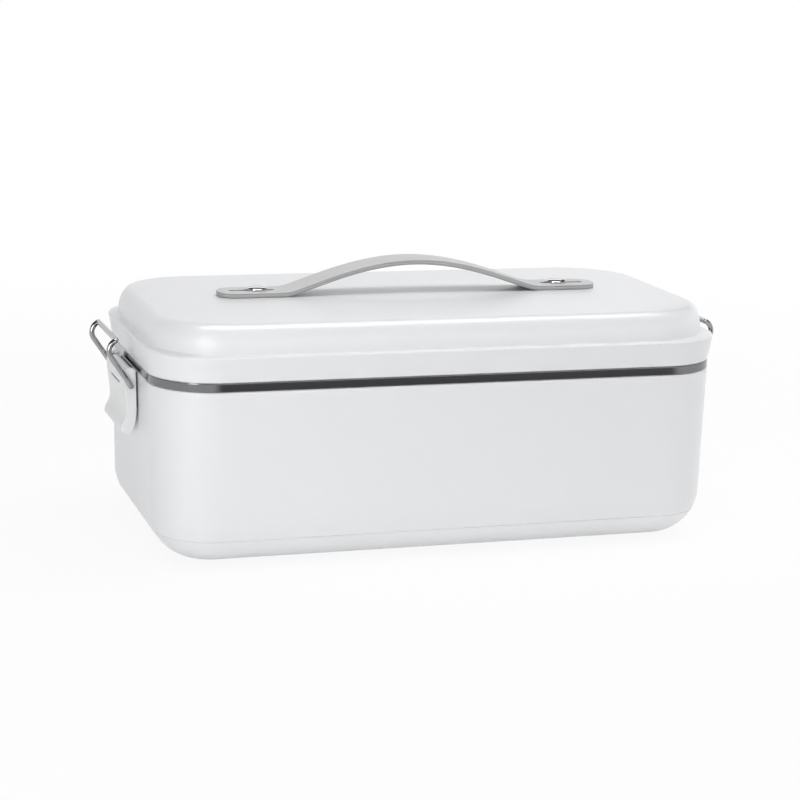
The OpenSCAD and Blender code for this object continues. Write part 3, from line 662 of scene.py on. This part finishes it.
def bowl_run(inset, slope, radius, floor_level, top):
    """Points down a tapered wall and round its bottom edge, from top to the floor."""
    taper = math.tan(math.radians(slope))
    found = []
    for i in range(WALL_STEPS + 1):
        turn = math.radians(90 - 90 * i / WALL_STEPS)
        level = floor_level + radius - radius * math.cos(turn)
        found.append((inset + (top - level) * taper + radius * (1 - math.sin(turn)), level))
    return found


bowl = rounded_block("bowl_skin", RIM_START, RIM_TOP - RIM_EDGE)
inner = BOWL_IN + STEEL
run_profile(bowl, arc(RIM_EDGE, RIM_TOP - RIM_EDGE, -RIM_EDGE, RIM_EDGE, 0, 90, 5)
            + arc(inner - 0.5, RIM_TOP - 0.5, 0.5, 0.5, 90, 0, 4)
            + bowl_run(inner, BOWL_DRAFT, BOWL_R - STEEL, BOWL_FLOOR + STEEL, RIM_TOP), 1)
run_profile(bowl, [(0.0, RIM_START), (0.0, RIM_LOW + 0.2), (0.2, RIM_LOW), (STEEL, RIM_LOW),
                   (STEEL, RIM_UNDER), (BOWL_IN, RIM_UNDER)]
            + bowl_run(BOWL_IN, BOWL_DRAFT, BOWL_R, BOWL_FLOOR, RIM_TOP), -1)
dress(smooth(bowl), "bowl_steel", "container", "food_container")
bowl.data.materials.append(finishes["rim_steel_painted_dark"])
# The band's faces take the steel whose dark reflection is painted into its colour.
for face in bowl.data.polygons:
    past_x = max(abs(face.center.x) - (BODY_L / 2 - BODY_R) * MM, 0)
    past_y = max(abs(face.center.y) - (BODY_W / 2 - BODY_R) * MM, 0)
    if (face.center.z > (RIM_LOW + 0.1) * MM and face.normal.z < 0.5
            and math.hypot(past_x, past_y) > (BODY_R - BAND) * MM):
        face.material_index = 1

# %% [markdown]
# ## The heating pan, the lid's panel and the seal
# These show when the lid is off. The bowl stands in a pressed aluminium pan. The lid's
# inner panel has a collar that dips into the bowl, and a silicone ring round the collar
# seals against the steel rim.

# %% Heating pan
PAN_IN, PAN_T, PAN_DRAFT, PAN_R, FINE = 5.8, 1.2, 1.0, 9.0, 0.1
inner = PAN_IN + PAN_T
pan = rounded_block("pan_skin", LIP + FINE, RIM_UNDER - FINE, inset=LIP_IN)
run_profile(pan, [(LIP_IN, RIM_UNDER - FINE), (LIP_IN + FINE, RIM_UNDER),
                  (inner - 0.4, RIM_UNDER), (inner - FINE, RIM_UNDER - FINE),
                  (inner, RIM_UNDER - 0.4)]
            + bowl_run(inner, PAN_DRAFT, PAN_R, BOWL_FLOOR, RIM_UNDER), 1)
run_profile(pan, [(LIP_IN, LIP + FINE), (LIP_IN + FINE, LIP), (PAN_IN, LIP)]
            + bowl_run(PAN_IN, PAN_DRAFT, PAN_R + PAN_T, BOWL_FLOOR - PAN_T, RIM_UNDER), -1)
dress(smooth(pan), "pan_aluminium", "tub", "heating_pan")

# %% Lid panel
PANEL_IN, PANEL_LOW, PANEL_TOP, EASE = 2.5, 79.2, 80.8, 0.2
COLLAR_IN, COLLAR_OUT, COLLAR_LOW = 8.9, 10.3, 74.8
panel = rounded_block("panel_skin", PANEL_LOW + EASE, PANEL_TOP - EASE, inset=PANEL_IN)
run_profile(panel, [(PANEL_IN, PANEL_TOP - EASE), (PANEL_IN + EASE, PANEL_TOP)], 1)
run_profile(panel, [(PANEL_IN, PANEL_LOW + EASE), (PANEL_IN + EASE, PANEL_LOW),
                    (COLLAR_IN, PANEL_LOW)]
            + ridge(COLLAR_IN, COLLAR_OUT, COLLAR_LOW, -CHAMFER)
            + [(COLLAR_OUT, PANEL_LOW - 0.5), (COLLAR_OUT + 0.5, PANEL_LOW)], -1)
dress(smooth(panel), "panel_plastic", "lid", "lid_inner_panel")

# %% Seal
SEAL_IN, SEAL_OUT, SEAL_SIDE, SEAL_EDGE = 3.0, 8.0, 0.5, 0.6
SEAL_LEVELS = 78.6, 77.4
seal = rounded_block("seal_ring", SEAL_LEVELS[1], SEAL_LEVELS[0], inset=SEAL_IN)
for facing, level in zip((1, -1), SEAL_LEVELS):
    crest, dip = level + SEAL_EDGE * facing, level + 0.2 * facing
    run_profile(seal, arc(SEAL_IN + SEAL_SIDE, level, -SEAL_SIDE, SEAL_EDGE * facing, 0, 90, 4)
                + [(5.0, crest), (5.3, dip), (5.7, dip), (6.0, crest)]
                + arc(SEAL_OUT - SEAL_SIDE, level, SEAL_SIDE, SEAL_EDGE * facing, 90, 0, 4),
                facing)
join_ends(seal, *SEAL_LEVELS)
dress(smooth(seal, 50), "seal_silicone", "lid", "lid_gasket")

# %% [markdown]
# ## Shapes drawn from a side view
# Levers, strap and wire are all drawn from the side. A lone vertex is extruded from point
# to point, as with a pen, and then the line is filled and pulled across, turned round an
# axis or given the thickness of a wire. Small insets at both ends of a pulled shape round
# its edges evenly, even along tight curves.

# %% Pen tools
EDGE_STEPS, TURN_STEPS = 4, 48


def pen_line(name, points):
    """A chain of edges through points in mm."""
    bpy.ops.mesh.primitive_plane_add(size=0.01, location=[c * MM for c in points[0]])
    piece = settle(bpy.context.object)
    piece.name = name
    edit_points(piece)
    bpy.ops.mesh.merge(type="CENTER")
    for before, point in zip(points, points[1:]):
        bpy.ops.mesh.extrude_vertices_move(
            TRANSFORM_OT_translate={"value": [(b - a) * MM for a, b in zip(before, point)]})
    close_edit()
    return piece


def round_edge(edge):
    """(inset, lift) steps that round an end face over."""
    turns = [math.radians(90 * i / EDGE_STEPS) for i in range(EDGE_STEPS + 1)]
    return [(edge * (math.cos(a) - math.cos(b)), edge * (math.sin(b) - math.sin(a)))
            for a, b in zip(turns, turns[1:])]


def pull_across(name, outline, depth, edge=0.0):
    """Fill an outline in a plane of equal y and pull it along +Y by depth mm."""
    piece = pen_line(name, [(x, y + edge, z) for x, y, z in outline])
    edit_points(piece)
    bpy.ops.mesh.edge_face_add()
    bpy.ops.mesh.extrude_region_move(
        TRANSFORM_OT_translate={"value": (0, (depth - 2 * edge) * MM, 0)})
    face_outwards()
    for way in ((-1, 1) if edge else ()):
        pick_faces(lambda middle, normal: normal.y * way > 0.999)
        for step_in, step_up in round_edge(edge):
            bpy.ops.mesh.inset(thickness=step_in * MM, depth=step_up * MM, use_even_offset=True)
    close_edit()
    return piece


def turned(name, outline, x):
    """Turn an outline of (radius, level) points round the upright axis at x, in mm."""
    piece = pen_line(name, [(x + radius, 0.0, level) for radius, level in outline])
    edit_points(piece)
    bpy.ops.mesh.spin(steps=TURN_STEPS, angle=math.tau, axis=(0, 0, 1), center=(x * MM, 0, 0))
    face_outwards(merge=SAME)
    close_edit()
    return piece


def joined(name, pieces):
    """Join several pieces into one."""
    only(pieces[0])
    for piece in pieces:
        piece.select_set(True)
    bpy.ops.object.join()
    pieces[0].name = name
    return pieces[0]


# %% [markdown]
# ## The strap
# The handle is a soft moulded strap: two flat tabs with a slot each, and an arch between them. Its
# side view is pulled across by its width, and the round ends and the slots are cut with tools
# shaped like them. An attribute runs from 0 at the underside to 1 at the top, and the material
# paints grey bands by it: the top keeps the strap's own grey, while the dark underside, a bright
# band in the middle and a darker band under the top are painted shade and a painted highlight along
# the edge.

# %% Strap shape
STRAP_L, STRAP_W, STRAP_T = 167.0, 15.5, 2.2
ARCH_L, ARCH_H, ARCH_POWER = 108.0, 12.5, 1.05
SLOT_L, SLOT_W, SLOT_X = 19.5, 3.2, 69.0
TAB_R, ROOT = 7.1, 3.0


def sharp_rise(x):
    """Height of the arch if it left the lid with a sharp fold."""
    if abs(x) >= ARCH_L / 2:
        return 0.0
    return ARCH_H * math.cos(math.pi * x / ARCH_L) ** ARCH_POWER


def arch_rise(x):
    """The same height, evened out over a few mm, so that the fold is soft."""
    return sum(sharp_rise(x + ROOT * (i / 5 - 1)) for i in range(11)) / 11


def arch_slope(x):
    return math.atan((arch_rise(x + 0.05) - arch_rise(x - 0.05)) / 0.1)


ARCH_STEPS = 76
reach = ARCH_L / 2 + ROOT
arch_x = [-reach + 2 * reach * i / ARCH_STEPS for i in range(ARCH_STEPS + 1)]
under = [(x, arch_rise(x)) for x in arch_x]
over = [(x - STRAP_T * math.sin(arch_slope(x)), arch_rise(x) + STRAP_T * math.cos(arch_slope(x)))
        for x in arch_x]
strap_side = ([(-STRAP_L / 2, 0.0)] + under + [(STRAP_L / 2, 0.0), (STRAP_L / 2, STRAP_T)]
              + over[::-1] + [(-STRAP_L / 2, STRAP_T)])

# %% Strap
SPARE, TOOL_STEPS = 2.0, 16         # the strap is pulled wider by SPARE, then cut to shape
strap = pull_across("strap_skin", [(x, -STRAP_W / 2 - SPARE, TOP + z) for x, z in strap_side],
                    STRAP_W + 2 * SPARE)
cut(strap, plate("tabs", STRAP_L, STRAP_W, TAB_R, TOP - 1, TOP + 20, TOOL_STEPS), "INTERSECT")
for x in (-SLOT_X, SLOT_X):
    slot_tool = plate("slot", SLOT_L, SLOT_W, SLOT_W / 2 - 0.01, TOP - 1, TOP + 4, TOOL_STEPS)
    slot_tool.location.x = x * MM
    cut(strap, settle(slot_tool))
bevel_edges(strap, 0.35, 3, 50, miter_outer="MITER_ARC")
smooth(strap, 50)
# Each point's place through the strap's thickness, which picks its painted band.
through_share = strap.data.attributes.new("strap_thickness_place", "FLOAT", "POINT")
for i, vert in enumerate(strap.data.vertices):
    x, z = vert.co.x / MM, vert.co.z / MM - TOP
    above = (z - arch_rise(x)) * math.cos(arch_slope(x)) / STRAP_T
    through_share.data[i].value = min(max(above, 0.0), 1.0)

# %% Strap finish
# Grey by place through the thickness: the top is the strap's grey; the dark underside and the
# darker band under the top are painted shade, the bright middle band is a painted highlight.
STRAP_EDGE_SHADES = [(0.0, 0.22), (0.13, 0.24), (0.17, 0.34), (0.44, 0.36), (0.49, 0.52),
                (0.55, 0.52), (0.60, 0.32), (0.82, 0.31), (0.92, 0.60), (1.0, 0.60)]
finishes["strap_grey"], tree, shader = new_material("strap_grey")
depth_value = add(tree, "Attribute", attribute_name="strap_thickness_place")
painted_bands = add(tree, "ValToRGB", {"Fac": depth_value.outputs["Fac"]})
while len(painted_bands.color_ramp.elements) < len(STRAP_EDGE_SHADES):
    painted_bands.color_ramp.elements.new(0.5)
for stop, (level, grey) in zip(painted_bands.color_ramp.elements, STRAP_EDGE_SHADES):
    stop.position, stop.color = level, rgba((grey, grey, grey * 1.005))
place = object_place(tree)
pebble = add(tree, "TexVoronoi", {"Vector": place, "Scale": 1500.0})
mottle = add(tree, "TexNoise", {"Vector": place, "Scale": 90.0, "Detail": 5.0})
tint = remap(tree, mottle.outputs["Fac"], 0.3, 0.7, 0.0, 0.14)
# The painted bands, mixed with a random mottle of paler wear.
worn_and_shaded_tone = add_mix(tree, tint, painted_bands.outputs["Color"], rgba((0.66, 0.66, 0.665)))
gloss = add(tree, "Group", {"Base": 0.52, "Spread": 0.12, "Scale": 40.0}, node_tree=handling)
connect(tree, shader, worn_and_shaded_tone, gloss.outputs["Roughness"], pebble.outputs["Distance"], 0.00003)
dress(strap, "strap_grey", "lid", "handle_strap")

# %% [markdown]
# ## Studs
# A domed chrome stud holds each tab through its slot. Its half outline is drawn once and
# spun round: neck, underside, a small rolled edge and the dome.

# %% Studs
STUD_X, STUD_FOOT, NECK_R, HEAD_R, HEAD_H = 66.6, 92.0, 1.4, 4.6, 1.6
ROLL = 0.3                          # radius of the head's rolled edge
head = TOP + STRAP_T + 0.1
stud_outline = ([(0.0, STUD_FOOT), (NECK_R - 0.2, STUD_FOOT), (NECK_R, STUD_FOOT + 0.2),
                 (NECK_R, head), (HEAD_R - 0.25, head)]
                + arc(HEAD_R - ROLL, head + ROLL, ROLL, ROLL, -60, 30, 4)
                + [(HEAD_R * math.cos(math.radians(t)), head + 0.4 + (HEAD_H - 0.4)
                    * math.sin(math.radians(t))) for t in (10, 20, 30, 42, 54, 66, 78)]
                + [(0.0, head + HEAD_H)])
studs = joined("stud_pair", [turned("stud", stud_outline, x) for x in (-STUD_X, STUD_X)])
dress(smooth(studs, 45), "chrome_stud", "lid", "handle_studs")

# %% [markdown]
# ## Latches
# Each end carries a toggle latch: a white lever on a pin, and a wire bail hooked into the
# lever's sides. Both are drawn in the latch's own frame, where u runs out from the wall
# and w runs up along it. The right latch mirrors the left, so the outlines serve both.

# %% Latch frame
SIDES = (-1, "left"), (1, "right")
LEAN = math.radians(1.0)
PIVOT = (3.3, -1.1)
BAIL = (3.0, -5.6)
LEVER_W, CHEEK, SKIN, BLIND = 38.6, 2.1, 1.7, 0.6


def on_latch(side, u, y, w):
    """A point of the latch's frame, in mm: side is -1 on the left and 1 on the right."""
    out = BODY_L / 2 + u * math.cos(LEAN) + w * math.sin(LEAN)
    return (side * out, y, SHOULDER - u * math.sin(LEAN) + w * math.cos(LEAN))


def turn_run(middle, radius, start, end, steps):
    """Points of a round arc in the latch's frame."""
    return arc(*middle, radius, radius, start, end, steps)


def latch_pull(side, name, outline, start, depth, edge=0.0):
    """Pull an outline of the latch's frame across by depth mm, from y = start."""
    return pull_across(name, [on_latch(side, u, start, w) for u, w in outline], depth, edge)


# %% Lever outline
LEVER_R, LEVER_L, LIP_OUT, WAIST_OUT = 3.0, 25.0, 7.6, 5.1
toe = PIVOT[1] - LEVER_L
waist = PIVOT[1] - LEVER_L * 0.6
LIP_R, TOE_R, TOE_OUT = 0.95, 0.7, 4.3
tip = toe + 1.7 + TOE_R


def lever_face(inward):
    """The hand side, from the pin over the waist to the finger lip, moved inward."""
    first = PIVOT[0] + LEVER_R - inward
    upper = [(first, PIVOT[1]), (first, waist + 9), (WAIST_OUT - inward, waist + 5),
             (WAIST_OUT - inward, waist)]
    lower = [(WAIST_OUT - inward, waist), (WAIST_OUT - inward, waist - 3.5),
             (LIP_OUT - inward, tip + 2.6), (LIP_OUT - inward, tip + 0.4)]
    return [upper[0]] + curve(upper, 14) + curve(lower, 12)


lever_back = curve([(3.4, toe + 0.6), (2.1, toe + 3.5), (0.7, toe + 6), (0.9, toe + 13)], 14)
lever_outline = (turn_run(PIVOT, LEVER_R, 140, 15, 16) + lever_face(0)
                 + turn_run((LIP_OUT - LIP_R, tip), LIP_R, 0, -50, 4)
                 + turn_run((TOE_OUT, toe + TOE_R), TOE_R, -50, -130, 4) + lever_back)
CAVITY_TOP, CAVITY_FOOT = PIVOT[1] + 1.25, tip + 3
lever_cavity = ([(-3, CAVITY_TOP), (PIVOT[0] + LEVER_R - SKIN, CAVITY_TOP)]
                + [p for p in lever_face(SKIN) if p[1] > CAVITY_FOOT] + [(-3, CAVITY_FOOT)])
ear_slot = [(-3, PIVOT[1] + 4), (PIVOT[0] + 1.9, PIVOT[1] + 4), (PIVOT[0] + 1.9, PIVOT[1] - 4),
            (-3, PIVOT[1] - 4)]
top_relief = turn_run(PIVOT, 2.2, 46, 180, 12) + [(-3, PIVOT[1]), (-3, 5), (PIVOT[0] + 5.9, 5)]
EAR_LOW, EAR_HIGH, WINDOW_W = 14.2, 17.2, 20
window = [(u, BAIL[1] + w) for u, w in ((2.4, -0.5), (8, -0.5), (8, 0.5), (2.4, 0.5))]


# %% Levers
def make_lever(side, name):
    """A lever: pulled across with rounded cheeks, then hollowed, slotted and drilled."""
    half = LEVER_W / 2
    inside = half - CHEEK
    lever = latch_pull(side, name, lever_outline, -half, LEVER_W, edge=0.45)
    for outline, start, depth in (
            (lever_cavity, -inside, 2 * inside), (top_relief, -inside, 2 * inside),
            (ear_slot, -EAR_HIGH, EAR_HIGH - EAR_LOW), (ear_slot, EAR_LOW, EAR_HIGH - EAR_LOW),
            (window, -WINDOW_W / 2, WINDOW_W),
            (turn_run(PIVOT, 1.1, 0, 345, 23), BLIND - half, LEVER_W - 2 * BLIND),
            (turn_run(BAIL, 1.15, 0, 345, 23), -half - 1.0, LEVER_W + 2.0)):
        cut(lever, latch_pull(side, "tool", outline, start, depth))
    bevel_edges(lever, 0.18, 2, 55)
    return smooth(lever, 40)


PIN_HALF = LEVER_W / 2 - BLIND - 0.2
for side, word in SIDES:
    lever = make_lever(side, f"{word}_lever_skin")
    dress(lever, "lever_plastic", f"{word}_lever", f"{word}_latch_lever")
    pin = latch_pull(side, f"{word}_pin_rod", turn_run(PIVOT, 1.0, 0, 345, 23), -PIN_HALF,
                     2 * PIN_HALF, edge=0.2)
    dress(smooth(pin, 50), "screw_steel", "tub", f"{word}_lever_pin")

# %% Wire bails
WIRE, ARM, ARM_LEAN, BEND_R, BEND_TURN = 2.2, 15.0, 33.0, 4.7, 101.0
CORNER_FILLET, FILLET_STEPS, SLIGHT_BEND = 1.6, 8, 0.3
arm_y = LEVER_W / 2 + 0.15 + WIRE / 2
lean = math.radians(ARM_LEAN)
bend_from = (BAIL[0] + ARM * math.sin(lean), BAIL[1] + ARM * math.cos(lean))
bend_middle = (bend_from[0] - BEND_R * math.cos(lean), bend_from[1] + BEND_R * math.sin(lean))
bend_points = turn_run(bend_middle, BEND_R, -ARM_LEAN, BEND_TURN - ARM_LEAN, 20)


def filleted(points):
    """Round every inner corner of a run of 3-D points."""
    found = [points[0]]
    for before, corner, after in zip(points, points[1:], points[2:]):
        a, c, b = (Vector(p) for p in (before, corner, after))
        way_in, way_out = (a - c).normalized(), (b - c).normalized()
        bend = math.pi - way_in.angle(way_out)
        if bend < SLIGHT_BEND:
            found.append(tuple(c))
            continue
        reach = min(CORNER_FILLET * math.tan(bend / 2), (a - c).length * 0.9,
                    (b - c).length * 0.45)
        p, q = c + way_in * reach, c + way_out * reach
        for i in range(FILLET_STEPS + 1):
            t = i / FILLET_STEPS
            found.append(tuple(p * (1 - t) ** 2 + c * 2 * t * (1 - t) + q * t * t))
    return found + [points[-1]]


def make_bail(side, name):
    """A wire bail: a line through its bends, given the thickness of the wire."""
    stub = arm_y - LEVER_W / 2 + CHEEK
    half = [(BAIL[0], -arm_y + stub, BAIL[1]), (BAIL[0], -arm_y, BAIL[1])]
    half += [(u, -arm_y, w) for u, w in bend_points]
    path = half + [(u, -y, w) for u, y, w in half[::-1]]
    wire = pen_line(name, filleted([on_latch(side, *p) for p in path]))
    bpy.ops.object.convert(target="CURVE")
    wire = bpy.context.object
    wire.data.dimensions = "3D"
    wire.data.bevel_depth = WIRE / 2 * MM
    wire.data.bevel_resolution = 6
    wire.data.use_fill_caps = True
    bpy.ops.object.convert(target="MESH")
    wire = bpy.context.object
    open_edit(wire)
    face_outwards(merge=SAME / 10)
    close_edit()
    wire.name = name
    return smooth(wire, 50)


for side, word in SIDES:
    bail = make_bail(side, f"{word}_bail_skin")
    # The bails take the chrome with its dark reflection painted in.
    dress(bail, "chrome_wire", f"{word}_bail", f"{word}_wire_bail")

# %% [markdown]
# ## Small hardware
# Brackets, rivets, screws, feet, socket and heater have the right shape in the CAD model
# already. A copy of each is merged, its flat facets are cleaned up, and a fine bevel gives
# it edges that catch the light. The round leads only get their material.

# %% Softened copies of CAD nodes
def softened(node, finish_name, body, width):
    """A bevelled copy of a CAD node that stands for it."""
    only(nodes[node])
    bpy.ops.object.duplicate()
    piece = bpy.context.object
    piece.name = node + "_soft"
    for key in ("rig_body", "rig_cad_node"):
        del piece[key]
    piece.parent = None
    open_edit(piece)
    bpy.ops.mesh.select_all(action="SELECT")
    bpy.ops.mesh.remove_doubles(threshold=SAME)
    bpy.ops.mesh.dissolve_limited(angle_limit=math.radians(1.0))
    bpy.ops.mesh.select_all(action="DESELECT")
    close_edit()
    bevel_edges(piece, width, 2, 40)
    dress(smooth(piece, 40), finish_name, body, node)


for node, finish_name, width in (
        # The brackets take the steel painted almost black, as shade in the gap by the lever.
        ("left_latch_bracket", "bracket_steel", 0.2),
        ("right_latch_bracket", "bracket_steel", 0.2),
        ("latch_rivets", "screw_steel", 0.3), ("power_inlet", "black_plastic", 0.5),
        ("contact_pins", "contact_metal", 0.5), ("rubber_feet", "foot_rubber", 0.25),
        ("base_screws", "screw_steel", 0.3), ("ptc_heater", "heater_case", 0.4),
        ("heater_clamp", "spring_steel", 0.2), ("clamp_screws", "screw_steel", 0.2),
        ("thermostat", "black_plastic", 0.3)):
    softened(node, finish_name, "tub", width)
softened("thermal_fuse", "fuse_ceramic", "tub", 0.3)
for node in ("panel_screws", "stud_nuts"):
    softened(node, "screw_steel", "lid", 0.2)
nodes["heater_leads"].data.materials.clear()
nodes["heater_leads"].data.materials.append(finishes["lead_sleeve"])

# %% [markdown]
# ## The studio
# A white box on white needs care: the lamps stay low enough that the colours don't clip,
# and the white of the background is its own. The floor and the world show plain white to
# the camera and in reflections, while the floor still takes a part of the box's shadow.
# Four of the lamps only shade: they are hidden from reflections, where they would make
# white patches on the lid. The gleam strip does the opposite and only shows as a gleam.

# %% Floor and world
FLOOR_SIZE, FLOOR_GREY, WORLD_LEVEL = 12, 0.92, 0.22
WHITE_FROM, WHITE_TO, NEAR_WHITE = 0.25, 0.75, 0.90     # metres from the box, and the share
                                                        # of plain white close to it


def seen_share(tree):
    """1 for rays from the camera, mirrors and glass, 0 for rays that only carry light."""
    path = add(tree, "LightPath")
    seen = calculate(tree, "MAXIMUM", path.outputs["Is Camera Ray"],
                     path.outputs["Is Glossy Ray"])
    return calculate(tree, "MAXIMUM", seen, path.outputs["Is Transmission Ray"])


bpy.ops.mesh.primitive_plane_add(size=FLOOR_SIZE, location=(0, 0, 0))
floor = bpy.context.object
floor.name = "floor"
floor_white, tree, shader = new_material("floor_white")
tree.nodes.remove(shader)
matt = add(tree, "BsdfDiffuse", {"Color": rgba(FLOOR_GREY)})
glow = add(tree, "Emission", {"Color": rgba(1.0), "Strength": 1.0})
away = add(tree, "VectorMath", {0: object_place(tree)}, operation="LENGTH")
near = remap(tree, away.outputs["Value"], WHITE_FROM, WHITE_TO, NEAR_WHITE, 1.0,
             interpolation_type="SMOOTHSTEP")
share = calculate(tree, "MULTIPLY", seen_share(tree), near)
both = add(tree, "MixShader", {0: share, 1: matt.outputs[0], 2: glow.outputs[0]})
tree.links.new(both.outputs[0], tree.nodes["Material Output"].inputs["Surface"])
floor.data.materials.append(floor_white)

world = bpy.data.worlds.new("studio")
world.use_nodes = True
bpy.context.scene.world = world
tree = world.node_tree
surround = tree.nodes["Background"]
surround.inputs["Color"].default_value = rgba(1.0)
strength = remap(tree, seen_share(tree), 0.0, 1.0, WORLD_LEVEL)
tree.links.new(strength, surround.inputs["Strength"])
print("floor and world are white where they are seen")

# %% Lamps
LAMPS = [           # name, place and aim in metres, size, power in watts
    ("top_box", (0.45, 0.10, 0.75), (0, 0, 0.1), (0.8, 0.9), 1.5),
    ("top_strip", (0.05, -0.16, 0.75), (0, 0, 0.1), (1.0, 0.30), 2.5),
    ("gleam_strip", (0.0, -0.16, 0.75), (0, 0, 0.1), (0.9, 0.18), 4.6),
    ("front_box", (0.20, -0.95, 0.18), (0, 0, 0.05), (0.9, 0.36), 1.2),
    ("left_box", (-0.60, -0.60, 0.19), (-0.05, -0.03, 0.05), (0.24, 0.38), 2.2),
    ("right_box", (0.75, 0.0, 0.18), (0.1, -0.03, 0.05), (0.55, 0.7), 1.7),
    ("back_box", (0.0, 0.9, 0.6), (0, 0, 0.1), (1.2, 0.3), 1.7),
    ("back_fill", (-0.1, 1.1, 0.3), (0, 0, 0.05), (1.0, 0.5), 1.5),
]
for name, place, aim, size, power in LAMPS:
    bpy.ops.object.light_add(type="AREA", location=place)
    lamp = bpy.context.object
    lamp.name = name
    lamp.data.shape = "RECTANGLE"
    lamp.data.size, lamp.data.size_y = size
    lamp.data.energy = power
    lamp.rotation_euler = (Vector(aim) - Vector(place)).to_track_quat("-Z", "Y").to_euler()
for name in ("top_box", "top_strip", "back_fill", "right_box"):
    bpy.data.objects[name].visible_glossy = False
bpy.data.objects["gleam_strip"].visible_diffuse = False
print("lamps:", len(LAMPS))

# %% [markdown]
# Bright metal shows what is round it, so in an all-white studio it turns flat and pale.
# Photographers set dark cards beside it. Ours are seen only in reflections: a soft-edged
# card on the floor in front darkens the steel rim, and a band all round, like the dark
# upper walls of a room, gives wire and studs their dark lines.

# %% Dark cards
def dark_card(card, low, high, name, grey):
    """Show a stage piece only in reflections, dark inside a soft-edged box of object space."""
    card.name = name
    card.visible_camera = card.visible_diffuse = False
    card.visible_shadow = card.visible_transmission = False
    material, tree, shader = new_material(name)
    tree.nodes.remove(shader)
    parts = add(tree, "SeparateXYZ", {0: object_place(tree)})
    masks = [remap(tree, parts.outputs[axis], edge_at, inner, interpolation_type="SMOOTHSTEP")
             for axis, start, end, soft in zip("XYZ", low, high, CARD_SOFT)
             for edge_at, inner in ((start, start + soft), (end, end - soft))]
    mask = masks[0]
    for other in masks[1:]:
        mask = calculate(tree, "MULTIPLY", mask, other)
    tone = add_mix(tree, mask, rgba(1.0), rgba(grey))
    light = add(tree, "Emission", {"Color": tone, "Strength": 1.0})
    tree.links.new(light.outputs[0], tree.nodes["Material Output"].inputs["Surface"])
    card.data.materials.append(material)


CARD_SOFT = (0.12, 0.06, 0.2)           # metres over which a card's edges fade, by axis
bpy.ops.mesh.primitive_plane_add(size=1.2, location=(0.0, -0.65, 0.001))
dark_card(settle(bpy.context.object), (-0.15, -0.60, -1.0), (0.37, -0.26, 1.0), "floor_card", 0.17)
bpy.ops.mesh.primitive_cylinder_add(vertices=64, radius=1.7, depth=3.2, end_fill_type="NOTHING",
                                    location=(0, 0, 2.0))
dark_card(settle(bpy.context.object), (-9, -9, 0.50), (9, 9, 3.6), "upper_wall", 0.08)
